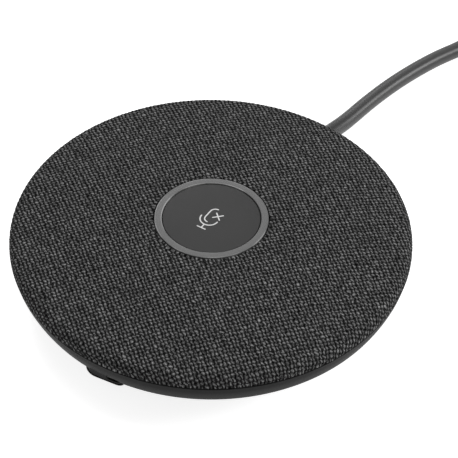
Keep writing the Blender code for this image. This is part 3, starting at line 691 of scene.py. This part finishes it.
def fabric_mesh():
    """The cloth as a fine skin that follows the threads, with its two borders drawn out to true circles."""
    count = 64
    warp = np.arange(-count * ACROSS_WARP, count * ACROSS_WARP + 1) / ACROSS_WARP
    weft = np.arange(-count * ACROSS_WEFT, count * ACROSS_WEFT + 1) / ACROSS_WEFT
    threads = np.stack(np.meshgrid(warp, weft, indexing="ij"), -1)
    flat = cloth_places(threads)
    reach = np.hypot(flat[..., 0], flat[..., 1])
    margin = 0.35 * CLOTH_STEP
    inside = (reach > HOLE_R + margin) & (reach < CLOTH_REACH - margin)
    whole = inside[:-1, :-1] & inside[1:, :-1] & inside[:-1, 1:] & inside[1:, 1:]
    used = np.zeros(inside.shape, int)
    for a, b in ((0, 0), (1, 0), (0, 1), (1, 1)):
        used[a:a + whole.shape[0], b:b + whole.shape[1]] += whole
    keep = used > 0
    border = keep & (used < 4)
    number = np.cumsum(keep).reshape(keep.shape) - 1
    faces = np.stack([number[:-1, :-1], number[1:, :-1], number[1:, 1:], number[:-1, 1:]], -1)[whole]
    reach = np.where(border, np.where(reach < FILLET_R / 2, HOLE_R, CLOTH_REACH), reach)[keep]
    away = flat[keep] / np.hypot(flat[keep][:, 0], flat[keep][:, 1])[:, None]
    lift = RELIEF * (thread_height(threads[..., 0], threads[..., 1])[keep] - 1)
    lift = lift * np.clip(np.minimum(reach - HOLE_R, CLOTH_REACH - reach) / (2 * CLOTH_STEP), 0, 1)
    spots = np.array([cloth_place(r) for r in reach])
    radius = spots[:, 0] + lift * np.sin(spots[:, 2])
    height = spots[:, 1] + lift * np.cos(spots[:, 2])
    places = np.column_stack([away * radius[:, None], height])
    mesh = bpy.data.meshes.new("fabric")
    mesh.from_pydata(places.tolist(), [], faces.tolist())
    store = mesh.attributes.new("threads", "FLOAT_VECTOR", "POINT")
    counted = np.column_stack([threads[keep], np.zeros(len(places))])
    store.data.foreach_set("vector", counted.astype(np.float32).ravel())
    return mesh


def close_back(mesh):
    """Turns the cloth's two borders under and joins them with a plain back, FABRIC_T below the outside."""
    shape = bmesh.new()
    shape.from_mesh(mesh)
    shape.normal_update()
    border = [e for e in shape.edges if e.is_boundary]
    outer = [e for e in border if hypot(*e.verts[0].co.xy) > FILLET_R / 2]
    inner = [e for e in border if e not in set(outer)]

    def fold(edges, radius, height):
        made = bmesh.ops.extrude_edge_only(shape, edges=edges)["geom"]
        for v in (g for g in made if isinstance(g, bmesh.types.BMVert)):
            scale = radius / hypot(*v.co.xy)
            v.co = (v.co.x * scale, v.co.y * scale, height)
        return [g for g in made if isinstance(g, bmesh.types.BMEdge)]

    under = FABRIC_T
    outer = fold(outer, BODY_R - under, FABRIC_EDGE_Z)
    for degrees in (90, 60, 30, 0):
        angle = radians(degrees)
        small = EDGE_FILLET - under
        outer = fold(outer, FILLET_R + small * sin(angle), FILLET_Z + small * cos(angle))
    middle = (FILLET_R + HOLE_R) / 2
    outer = fold(outer, middle, dome_z(middle) - under)
    inner = fold(inner, HOLE_R, dome_z(HOLE_R) - under)
    bmesh.ops.bridge_loops(shape, edges=outer + inner)
    bmesh.ops.recalc_face_normals(shape, faces=shape.faces)
    shape.to_mesh(mesh)
    shape.free()
    mesh.shade_smooth()
    mesh.set_sharp_from_angle(angle=radians(70))


def fabric():
    mesh = fabric_mesh()
    close_back(mesh)
    cover = add_mesh("fabric", mesh, weave("fabric_weave_painted_shade"), ["fabric_cover"])


CASING = moulded("casing_plastic", (0.004,) * 3, 0.5, specular=0.06)


def smooth_run(points, steps):
    """A smooth run of profile points through the given (radius, height) ones, in millimetres."""
    return [(p.x, p.y) for p in through([Vector((r * MM, z * MM, 0)) for r, z in points], steps)]


def rim():
    """The moulded band round the edge, with the arched notch and the small lip over the socket."""
    low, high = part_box("rim_band")
    outside = smooth_run([(50.88, 15.6), (50.5, 13.6), (49.75, 11.3), (49.3, 10.4)], 6)
    inner_r, ledge_r, ledge_z = 49.9 * MM, 47.4 * MM, 13.9 * MM
    profile = [(inner_r, high.z - 0.15 * MM), (inner_r + 0.15 * MM, high.z)]
    profile += arc_points(50.6 * MM, 15.7 * MM, 0.3 * MM, 90, 5)
    profile += outside
    profile += arc_points(48.95 * MM, 10.2 * MM, 0.3 * MM, -20, -90)
    profile += [(ledge_r, low.z), (ledge_r, ledge_z), (inner_r, ledge_z)]
    made = add_built("rim", turned(profile, SIDES), CASING, ["rim_band"])
    arch = eased_box(-1.9 * MM, 6.9 * MM, low.z - 1.7 * MM, low.z + 1.7 * MM, 0, 1.5 * MM, 8)
    cut(made, mesh_of("notch", prism(arch, -52 * MM, -46 * MM)))
    lip = eased_box(-1.7 * MM, 3.0 * MM, 9.6 * MM, 13.8 * MM, 0.6 * MM, 0.9 * MM, 6)
    cut(made, mesh_of("lip", prism(lip, -49.7 * MM, -47.9 * MM)), "UNION")


def add_at_socket(name, build, finish, replaced=()):
    return add_mesh(name, at_socket(name, build), finish, replaced)


def at_socket(name, build):
    """A mesh modelled along Y, with y=0 at the socket's face, put in the socket's place."""
    mesh = mesh_of(name, build)
    mesh.transform(Matrix.Translation(PORT_FACE) @ Matrix.Rotation(PORT_TURN, 4, "Z"))
    return mesh


def arc_points(x, y, radius, start, end, steps=6):
    """Points round (x, y) from the start angle to the end angle, in degrees."""
    turn = [radians(start + (end - start) * k / steps) for k in range(steps + 1)]
    return [(x + radius * cos(a), y + radius * sin(a)) for a in turn]


def lower_case():
    """The dished lower case with its two wall openings and a shallow plain panel underneath."""
    low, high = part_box("bottom_housing")
    base, wall = low.z, 1.8 * MM
    low_r, low_z, top_r, top_z = 41.3 * MM, 2.2 * MM, 48.3 * MM, 9.6 * MM
    collar_in, collar_out = 45.9 * MM, 47.1 * MM
    groove_in, groove_out, groove_z = 29.0 * MM, 37.3 * MM, 1.7 * MM
    slope = (top_r - low_r) / (top_z - low_z)

    def cone(height, inset=0.0):
        return low_r + slope * (height - low_z) - inset

    floor_z = base + wall
    panel_r, panel_z = 23.0 * MM, base + 0.3 * MM
    profile = [(0.0, panel_z), (panel_r - 0.3 * MM, panel_z), (panel_r, base)]
    profile += [(groove_in, base), (groove_in, groove_z), (groove_out, groove_z), (groove_out, base)]
    profile += smooth_run([(39.3, 0.8), (40.0, 0.95), (40.7, 1.5), (41.3, 2.2)], 4)
    profile += [(cone(top_z), top_z), (collar_out, top_z), (collar_out, high.z), (collar_in, high.z),
                (collar_in, top_z), (cone(floor_z + MM, wall), floor_z + MM),
                (cone(floor_z, wall) - 0.7 * MM, floor_z), (0.0, floor_z)]
    made = add_built("lower_case", turned(profile, SIDES), CASING, ["bottom_housing"])
    hole = lifted(oval(BEZEL, 2 * GAP), PORT_Z)
    cut(made, at_socket("port_hole", prism(hole, -5 * MM, 9 * MM)))
    way = lifted([polar(3.2 * MM, 2 * pi * k / 48) for k in range(48)], EXIT_Z)
    cut(made, mesh_of("cable_hole", prism(way, 34 * MM, 52 * MM)))


def foot():
    """The rubber ring under the case, with round edges and three shallow grooves in its sole."""
    low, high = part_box("foot_ring")
    outer, inner, soft = high.x, 29.3 * MM, 0.3 * MM
    profile = [(inner, high.z), (outer, high.z)]
    profile += arc_points(outer - soft, low.z + soft, soft, 0, -90)
    for radius in (35.2 * MM, 33.15 * MM, 31.1 * MM):
        for off, deep in ((0.35, 0.0), (0.2, 0.3), (-0.2, 0.3), (-0.35, 0.0)):
            profile.append((radius + off * MM, low.z + deep * MM))
    profile += arc_points(inner + soft, low.z + soft, soft, -90, -180)
    finish = rubber("foot_rubber", (0.018, 0.018, 0.019))
    add_built("foot", turned(profile, SIDES), finish, ["foot_ring"])


# ---------------- key

KEY_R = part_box("mute_key")[1].x
KEY_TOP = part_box("mute_key")[1].z
RING_R = 13.5 * MM                  # the middle of the ring's band
ICON_X = -0.2 * MM
ICON_STROKE = 0.34 * MM
ICON_T = 0.02 * MM


def ring():
    """The light guide round the key: a flat satin ring with softly broken edges, on its flange."""
    low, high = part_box("light_ring")
    inner, outer, soft = KEY_R + 0.08 * MM, 14.43 * MM, 0.14 * MM
    profile = [(inner, low.z), (high.x, low.z), (high.x, low.z + 0.7 * MM), (outer, low.z + 0.7 * MM)]
    profile += arc_points(outer - soft, high.z - soft, soft, 0, 90, 4)
    profile += arc_points(inner + soft, high.z - soft, soft, 90, 180, 4)
    add_built("ring", turned(profile, SIDES), light_guide(), ["light_ring"])


def light_guide():
    """Satin translucent plastic, with painted highlights along its two edges, here and there."""
    finish = moulded_finish("ring_plastic_painted_highlights", (0.084,) * 3, 0.42, 0.3 * MM, 0.008 * MM, 1.7, 0.3, 0.25)
    spot = finish.place()
    flat = finish.vectors("MULTIPLY", spot, (1, 1, 0))
    radius = finish.node("ShaderNodeVectorMath", {0: flat}, operation="LENGTH").outputs["Value"]
    off_middle = finish.math("ABSOLUTE", finish.minus(radius, RING_R))
    # Painted highlight: a lighter band along the ring's inner and outer edges.
    edge = finish.span(off_middle, 0.62 * MM, 0.80 * MM)
    highlight_patches = finish.span(finish.noise(spot, 7 * MM, 1.0), 0.42, 0.62)
    was = finish.shader.inputs["Base Color"].links[0].from_socket
    finish.paint(finish.times(edge, highlight_patches), was, (0.26,) * 3)
    return finish.made


def key():
    """The round key: a flat cap with a soft edge, a skirt, and a post over the switch."""
    low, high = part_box("mute_key")
    soft, skirt_r, under_z, post_r, post_z = 0.3 * MM, KEY_R - MM, 19.3 * MM, 2.0 * MM, 18.0 * MM
    profile = [(0.0, high.z), (0.5 * KEY_R, high.z)]
    profile += arc_points(KEY_R - soft, high.z - soft, soft, 90, 0, 5)
    profile += [(KEY_R, low.z), (skirt_r, low.z), (skirt_r, under_z), (post_r, under_z), (post_r, post_z),
                (0.0, post_z)]
    finish = moulded("key_plastic", (0.0135,) * 3, 0.48, 0.22 * MM, 0.008 * MM, 1.5, 0.3, 0.205)
    add_built("key_cap", turned(profile, SIDES), finish, ["mute_key"], "mute_key")


def round_end(place, way, half):
    """The points of a half circle over the end of a line, from its left to its right, looking along way."""
    left = Vector((-way.y, way.x))
    return [place + half * (way * sin(pi * k / 8) + left * cos(pi * k / 8)) for k in range(1, 8)]


def stroke(points):
    """Builds a flat line with round ends along (x, y) points, standing on the key."""
    def build(shape):
        half = ICON_STROKE / 2
        run = [Vector(p) for p in points]
        left, right = [], []
        for i, p in enumerate(run):
            way = (run[min(i + 1, len(run) - 1)] - run[max(i - 1, 0)]).normalized()
            across = Vector((-way.y, way.x)) * half
            left.append(p + across)
            right.append(p - across)
        first, last = (run[0] - run[1]).normalized(), (run[-1] - run[-2]).normalized()
        outline = left + round_end(run[-1], last, half) + right[::-1] + round_end(run[0], first, half)
        low, high = KEY_TOP - 0.05 * MM, KEY_TOP + ICON_T
        rings(shape, [[(*p, low) for p in outline], [(*p, high) for p in outline]], closed=False)

    return build


def icon():
    """The printed sign of a muted microphone: an open capsule on its cradle and stand, with a small cross."""
    capsule_x, capsule_r, cradle_r = ICON_X + 0.15 * MM, 1.4 * MM, 2.35 * MM
    top_y, low_y, cradle_y, foot_y = 1.85 * MM, -0.55 * MM, -0.7 * MM, -4.47 * MM
    left, right, low, high = 0.28 * MM, 2.2 * MM, 0.15 * MM, 2.1 * MM
    capsule = arc_points(capsule_x, top_y, capsule_r, 88, 180, 8)
    capsule += arc_points(capsule_x, low_y, capsule_r, 180, 268, 8)
    strokes = [
        capsule,
        arc_points(ICON_X, cradle_y, cradle_r, 180, 360, 24),
        [(ICON_X, cradle_y - cradle_r), (ICON_X, foot_y + 0.07 * MM)],
        [(ICON_X - 1.15 * MM, foot_y), (ICON_X + 1.15 * MM, foot_y)],
        [(left, low), (right, high)],
        [(left, high - 0.1 * MM), (right, low + 0.05 * MM)],
    ]
    finish = moulded("icon_print", (0.50, 0.50, 0.50), 0.6, 0.1 * MM, 0.004 * MM, 1.05, 0.3)
    made = add_built("icon", stroke(strokes[0]), finish, body="mute_key")
    for line in strokes[1:]:
        cut(made, mesh_of("line", stroke(line)), "UNION")


# ---------------- socket

PORT_TURN = radians(7)              # how far the socket looks round from -Y towards +X
PORT_FACE = Vector((0.5, -47.1, 0)) * MM
PORT_Z = 7.2 * MM
EXIT_Z = 4.8 * MM
SOCKET = (8.94 * MM, 3.26 * MM)     # the socket shell's outside, wide and high
BEZEL = (10.4 * MM, 4.6 * MM)
PLUG = (8.25 * MM, 2.4 * MM)        # the plug shell's outside
BLACK = moulded("black_plastic", (0.006, 0.006, 0.006), 0.5, specular=0.12)
STEEL = metal("bright_steel", (0.36, 0.365, 0.37), 0.32)
# The socket's steel shell is painted near black: painted shade for the inside of the notch.
SHADED_STEEL = metal("steel_painted_shade", (0.05, 0.05, 0.05), 0.45)
GOLD = metal("gold_plate", (0.75, 0.55, 0.22), 0.25)


def lifted(outline, height):
    return [(x, z + height) for x, z in outline]


def socket():
    """The socket: a black bezel, a steel shell with an eased mouth, and the tongue with its contacts."""
    wide = (BEZEL[0] - SOCKET[0]) / 2 - 0.2 * MM
    section = mouthed(wide, 0.0, 4.9 * MM, (0.25 * MM, 0.35 * MM), (0.2 * MM, 0.2 * MM))
    hole = lifted(oval(SOCKET, 0.4 * MM), PORT_Z)
    add_at_socket("socket_bezel", swept(hole, section), BLACK, ["port_bezel"])
    front, end, wall = 0.1 * MM, 7.4 * MM, 0.32 * MM
    section = mouthed(wall, front, end, (0.12 * MM, 0.2 * MM), (0.08 * MM, 0.12 * MM))
    inner = lifted(oval(SOCKET, -2 * wall), PORT_Z)
    add_at_socket("socket_shell", swept(inner, section), SHADED_STEEL, ["port_shell"])
    tip, root = front + 0.8 * MM, end - 0.1 * MM
    tongue = lifted(oblong(6.7 * MM, 0.7 * MM, 0.12 * MM, 3), PORT_Z)
    tongue = prism(tongue, tip, root - 0.7 * MM)
    made = add_at_socket("socket_tongue", tongue, BLACK, ["port_contacts"])
    block = lifted(oval(SOCKET, -2 * wall - 0.3 * MM), PORT_Z)
    cut(made, at_socket("root", prism(block, root - 1.5 * MM, root)), "UNION")
    contact_pads(tip + 0.5 * MM)
    notch_shade_sheet()


def notch_shade_sheet():
    """A thin black sheet between the case's lip and the rim, which closes the notch from inside: painted
    shade for the dark inside of the notch.
    """
    finish = Finish("notch_painted_shade", 0.95)
    finish.set("Specular IOR Level", 0.0)
    cells = finish.noise(finish.place(), 0.3 * MM, 2.0)
    # Painted shade: near black and without shine.
    finish.paint(finish.spread(cells), (0.0015,) * 3, (0.004,) * 3)
    finish.bump(cells, 0.4, 0.08 * MM)
    turn = [radians(-94 + k) for k in range(15)]
    low, high, inner, outer = 9.7 * MM, 12.6 * MM, 47.16 * MM, 47.34 * MM
    corners = [(inner, low), (outer, low), (outer, high), (inner, high)]
    loops = [[(*polar(r, a), z) for r, z in corners] for a in turn]
    add_built("notch_shade_sheet", lambda shape: rings(shape, loops, closed=False), finish.made)


def contact_pads(front):
    """Twelve small gold pads on each face of the socket's tongue."""
    count, pitch, half_width, length = 12, 0.5 * MM, 0.13 * MM, 4.2 * MM

    def build(shape):
        for k in range(count):
            x = (k - (count - 1) / 2) * pitch
            left, right = x - half_width, x + half_width
            for side in (1, -1):
                low, high = sorted((PORT_Z + side * 0.33 * MM, PORT_Z + side * 0.37 * MM))
                outline = [(left, low), (right, low), (right, high), (left, high)]
                prism(outline, front, front + length)(shape)

    add_at_socket("socket_pads", build, GOLD)


# ---------------- cable fittings

RUBBER_BLACK = rubber("relief_rubber", (0.022, 0.022, 0.023), 0.6)


def ribbed(start, end, neck_r, first_r, last_r, rib=1.1 * MM, groove=0.9 * MM):
    """The (radius, along) profile of a tapering ribbed sleeve, with softly rounded ribs."""
    profile = [(0.0, start), (neck_r, start)]
    count = int((end - start) / (rib + groove))
    at = end - count * (rib + groove)
    profile.append((neck_r, at - 0.2 * MM))
    for k in range(count):
        top = first_r + (last_r - first_r) * k / max(1, count - 1)
        deep = top - 0.38 * MM
        soft = 0.18 * MM
        profile += [(deep, at), (top - soft, at + 0.02 * MM), (top, at + soft), (top, at + rib - soft),
                    (top - soft, at + rib), (deep, at + rib + 0.02 * MM), (deep, at + rib + groove)]
        at += rib + groove
    tip = end + 0.1 * MM
    profile += [(last_r - 0.1 * MM, end + 0.01 * MM), (last_r - 0.2 * MM, tip), (0.0, tip)]
    return profile


def lay_along_y(mesh, place):
    mesh.transform(Matrix.Rotation(-pi / 2, 4, "X"))
    mesh.transform(Matrix.Translation(place))
    return mesh


def return_pad():
    """The soft ring under the key, which shortens as the key goes down."""
    low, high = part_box("key_return_pad")
    inner, outer, soft = high.x - 1.4 * MM, high.x, 0.2 * MM
    profile = [(inner, low.z), (outer, low.z), (outer, high.z - soft), (outer - soft, high.z),
               (inner + soft, high.z), (inner, high.z - soft)]
    made = add_built("return_pad", turned(profile, 64), RUBBER_BLACK, ["key_return_pad"])
    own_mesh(made)


def relief():
    """The sleeve that holds the cable at the case's wall, and the flange inside it."""
    low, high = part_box("cable_relief")
    profile = ribbed(low.y + 1.4 * MM, high.y - 0.1 * MM, 2.9 * MM, 3.1 * MM, 2.82 * MM)
    mesh = lay_along_y(mesh_of("relief", turned(profile, 64)), (0, 0, EXIT_Z))
    made = add_mesh("relief", mesh, RUBBER_BLACK, ["cable_relief"])
    flange = eased_box(-4.5 * MM, 4.5 * MM, 3.0 * MM, 8.2 * MM, 0.5 * MM, 0.5 * MM, 4)
    plate = prism(flange, low.y, low.y + 1.6 * MM)
    return [made, add_built("relief_flange", plate, RUBBER_BLACK, ["cable_relief"])]


def strap_weave(name):
    """Woven strap: a close nap of short loops."""
    finish = Finish(name, 0.9)
    here = finish.place()
    loops = finish.cells(here, 0.32 * MM)
    nap = finish.noise(here, 0.5 * MM, 4.0)
    finish.paint(finish.span(loops, 0.1, 0.7), (0.028, 0.028, 0.030), (0.006, 0.006, 0.006))
    finish.set("Roughness", finish.spread(nap, 0.8, 0.95))
    finish.set("Sheen Weight", 0.2)
    finish.bump(finish.plus(nap, finish.minus(1.0, loops)), 0.8, 0.12 * MM)
    return finish.made


def ties():
    """Two soft woven straps round the coil, each a closed band. The first fits the coil more closely."""
    finish = strap_weave("strap")
    mid_r, low_z, high_z = 27.0 * MM, 1.1 * MM, 20.9 * MM
    half, width, thick, bend = 12.975 * MM, 5.0 * MM, 0.75 * MM, 2.6 * MM
    tall = (high_z - low_z) / 2 + 0.25 * MM
    soft, edge = 0.18 * MM, width / 2
    section = [(0.0, soft - edge), (soft, -edge), (thick - soft, -edge), (thick, soft - edge),
               (thick, edge - soft), (thick - soft, edge), (soft, edge), (0.0, edge - soft)]
    made = []
    for number, degrees, outer in ((1, 235, 11.1 * MM), (2, 335, half)):
        node = f"cable_tie_{number}"
        path = eased_box(-half, outer, -tall, tall, bend, bend, 8)
        mesh = mesh_of(node, swept(path, section), 50)
        place = coil_place(radians(degrees), mid_r, (low_z + high_z) / 2)
        mesh.transform(Matrix.Translation(place) @ Matrix.Rotation(radians(degrees), 4, "Z"))
        made.append(add_mesh(f"strap_{number}", mesh, finish, [node]))
    return made


def plug():
    """The plug: a moulded grip with finger ridges, a ribbed sleeve, a steel shell and the contacts inside."""
    to_seat = Matrix.Translation(PLUG_SEAT) @ Matrix.Rotation(PLUG_ANGLE - pi / 2, 4, "Z")
    grip_start, grip_end = -7.0 * MM, 13.0 * MM
    pieces = []

    def add(mesh, finish, replaced):
        mesh.transform(to_seat)
        pieces.append(add_mesh(mesh.name, mesh, finish, [replaced]))
        return pieces[-1]

    profile = ribbed(PLUG_RELIEF_START, grip_start - 0.4 * MM, 2.75 * MM, 2.8 * MM, 3.15 * MM)
    sleeve = lay_along_y(mesh_of("plug_sleeve", turned(profile, 64)), (0, 0, 0))
    add(sleeve, RUBBER_BLACK, "plug_relief")
    add(mesh_of("plug_body", grip(grip_start, grip_end)), BLACK, "plug_grip")
    shell_start, shell_end, wall = grip_end + GAP, grip_end + GAP + 6.6 * MM, 0.3 * MM
    inner = oval(PLUG, -2 * wall)
    section = mouthed(wall, shell_end, shell_start, (0.08 * MM, 0.15 * MM), (0.1 * MM, 0.2 * MM))
    add(mesh_of("plug_tube", swept(inner, section)), STEEL, "plug_shell")
    core = oval(PLUG, -2 * wall - 0.3 * MM)
    core = mesh_of("plug_core", prism(core, shell_start, shell_end - 0.4 * MM))
    contacts = add(core, BLACK, "plug_contacts")
    slot = oblong(6.9 * MM, 0.84 * MM, 0.2 * MM, 3)
    slot_mesh = mesh_of("slot", prism(slot, shell_start + MM, shell_end + MM))
    slot_mesh.transform(to_seat)
    cut(contacts, slot_mesh)
    return pieces


def grip(start, end):
    """Builds the plug's grip: a soft box, narrower at its ends, with ridges across its two broad faces."""
    width, height, inset, shoulder_l = 12.0 * MM, 6.4 * MM, 0.7 * MM, 1.2 * MM
    stations, sides, squareness = 72, 48, 0.55
    ridges, ridged_from, ridged_to, ridge_deep = 7, 0.3, 0.75, 0.16 * MM
    length = end - start

    def rounded(value):
        """A cosine or sine, pushed out from a round section towards a square one."""
        return abs(value) ** squareness * (1 if value >= 0 else -1)

    def build(shape):
        loops = []
        for k in range(stations + 1):
            share = k / stations
            ends = min(share, 1 - share) * length
            shoulder = sqrt(max(0.0, 1 - (1 - min(1.0, ends / shoulder_l)) ** 2))
            taper = 1 - 0.16 * max(0.0, (0.35 - share) / 0.35) ** 2
            ridge = 0.0
            if ridged_from < share < ridged_to:
                turns = ridges * (share - ridged_from) / (ridged_to - ridged_from)
                ridge = ridge_deep * (0.5 - 0.5 * cos(2 * pi * turns))
            half_w = width / 2 * taper - inset * (1 - shoulder)
            half_h = height / 2 * taper - inset * (1 - shoulder) - ridge
            turn = [2 * pi * m / sides for m in range(sides)]
            loops.append([(half_w * rounded(cos(a)), start + length * share, half_h * rounded(sin(a)))
                          for a in turn])
        rings(shape, loops, closed=False)

    return build


# ---------------- inner pieces

def solder_mask(name):
    """A circuit board: green mask with faint straight tracks and gold dots."""
    finish = Finish(name, 0.35)
    here = finish.place()
    tracks = finish.node("ShaderNodeTexBrick", {"Vector": here, "Scale": 1 / (2.2 * MM), "Mortar Size": 0.06,
                                                "Color1": (0.02, 0.10, 0.05), "Color2": (0.018, 0.09, 0.045),
                                                "Mortar": (0.04, 0.16, 0.08)}).outputs["Color"]
    dots = finish.cells(here, 2.4 * MM)
    via = finish.math("LESS_THAN", dots, 0.12)
    finish.paint(via, tracks, (0.7, 0.55, 0.25))
    finish.set("Roughness", finish.spread(finish.noise(here, MM), 0.28, 0.42))
    finish.bump(dots, 0.2, 0.02 * MM)
    return finish.made


def paper(name, colour):
    """Pressed paper pulp, with short fibres."""
    finish = Finish(name, 0.85)
    fibres = finish.noise(finish.place((1.0, 3.0, 1.0)), 0.4 * MM, 5.0)
    finish.paint(finish.spread(fibres), tinted(colour, 0.7), tinted(colour, 1.6))
    finish.bump(fibres, 0.6, 0.05 * MM)
    return finish.made


def wound_copper(name):
    """Fine enamelled wire, wound close about Z."""
    finish = Finish(name, 0.3, 1.0)
    height = finish.node("ShaderNodeSeparateXYZ", {"Vector": finish.place()}).outputs["Z"]
    turns = finish.math("SINE", finish.times(height, 2 * pi / (0.12 * MM)))
    finish.paint(finish.span(turns, -1, 1), (0.35, 0.14, 0.06), (0.72, 0.36, 0.18))
    finish.bump(turns, 0.5, 0.03 * MM)
    return finish.made


def inner_finishes():
    """Gives every CAD node that is still shown a material made from nodes, by the record's slots."""
    made = {
        "casing": CASING,
        "black_plastic": BLACK,
        "bright_steel": STEEL,
        "rubber": RUBBER_BLACK,
        "white_plastic": moulded("white_plastic", (0.70, 0.70, 0.68), 0.45),
        "grey_metal": metal("grey_metal", (0.40, 0.41, 0.42), 0.4),
        "board": solder_mask("solder_mask"),
        "chip": moulded("chip_resin", (0.014, 0.014, 0.015), 0.5, 0.12 * MM),
        "cone": paper("cone_paper", (0.03, 0.03, 0.03)),
        "copper": wound_copper("copper_winding"),
        "sheath": sheath("tail_sheath", (0.05, 0.051, 0.054)),
    }
    for part in frame["record"]["subparts"]:
        node = frame["nodes"][part["node"]]
        if node.hide_render:
            continue
        finish = made[part["material_slot"]]
        if not node.data.materials:
            node.data.materials.append(finish)
        for place in node.material_slots:
            place.material = finish


# ---------------- the studio

WORLD_STRENGTH = 0.35
TABLE_GLOW = 0.82                   # the floor is a light table, which keeps it free of shadows
SOFT_BOXES = [                      # name, place, size and power, in metres and watts
    ("top", (-0.20, 0.35, 1.20), (1.0, 0.8), 10.0),
    ("back_right", (0.94, 0.66, 0.61), (0.5, 0.4), 10.0),
    ("back_left", (-0.70, 0.90, 0.80), (0.8, 0.6), 5.0),
]


def studio():
    """A pale glowing floor under wide soft lights: a main one overhead, and one behind on each side."""
    mesh = mesh_of("floor", lambda shape: bmesh.ops.create_grid(shape, x_segments=8, y_segments=8, size=3.0))
    floor = new_object("floor", mesh)
    finish = Finish("floor_paint", 0.9)
    cloud = finish.noise(finish.place(), 1 / 3)
    finish.paint(cloud, (0.60,) * 3, (0.62,) * 3)
    finish.set("Specular IOR Level", 0.0)
    finish.set("Emission Color", (1.0, 1.0, 1.0))
    finish.set("Emission Strength", TABLE_GLOW)
    mesh.materials.append(finish.made)
    world = bpy.data.worlds.new("studio")
    world.use_nodes = True
    backdrop = world.node_tree.nodes["Background"]
    backdrop.inputs["Color"].default_value = (1.0, 1.0, 1.0, 1.0)
    backdrop.inputs["Strength"].default_value = WORLD_STRENGTH
    bpy.context.scene.world = world
    for name, place, size, power in SOFT_BOXES:
        soft_box(name, Vector(place), size, power)
    bpy.context.scene.view_settings.view_transform = "Standard"


def soft_box(name, place, size, power):
    data = bpy.data.lights.new(name, "AREA")
    data.shape = "RECTANGLE"
    data.size, data.size_y = size
    data.energy = power
    facing = place.to_track_quat("Z", "Y").to_matrix().to_4x4()
    new_object(name, data).matrix_world = Matrix.Translation(place) @ facing


# ---------------- assembly

fabric()
rim()
lower_case()
foot()
ring()
key()
return_pad()
icon()
socket()
on_cable = [*relief(), *ties(), *plug()]
cord.data.materials.append(sheath("cable_sheath", (0.016,) * 3))
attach(cord, "housing")
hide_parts("cable", "cable_coil", "cable_end")
inner_finishes()
studio()
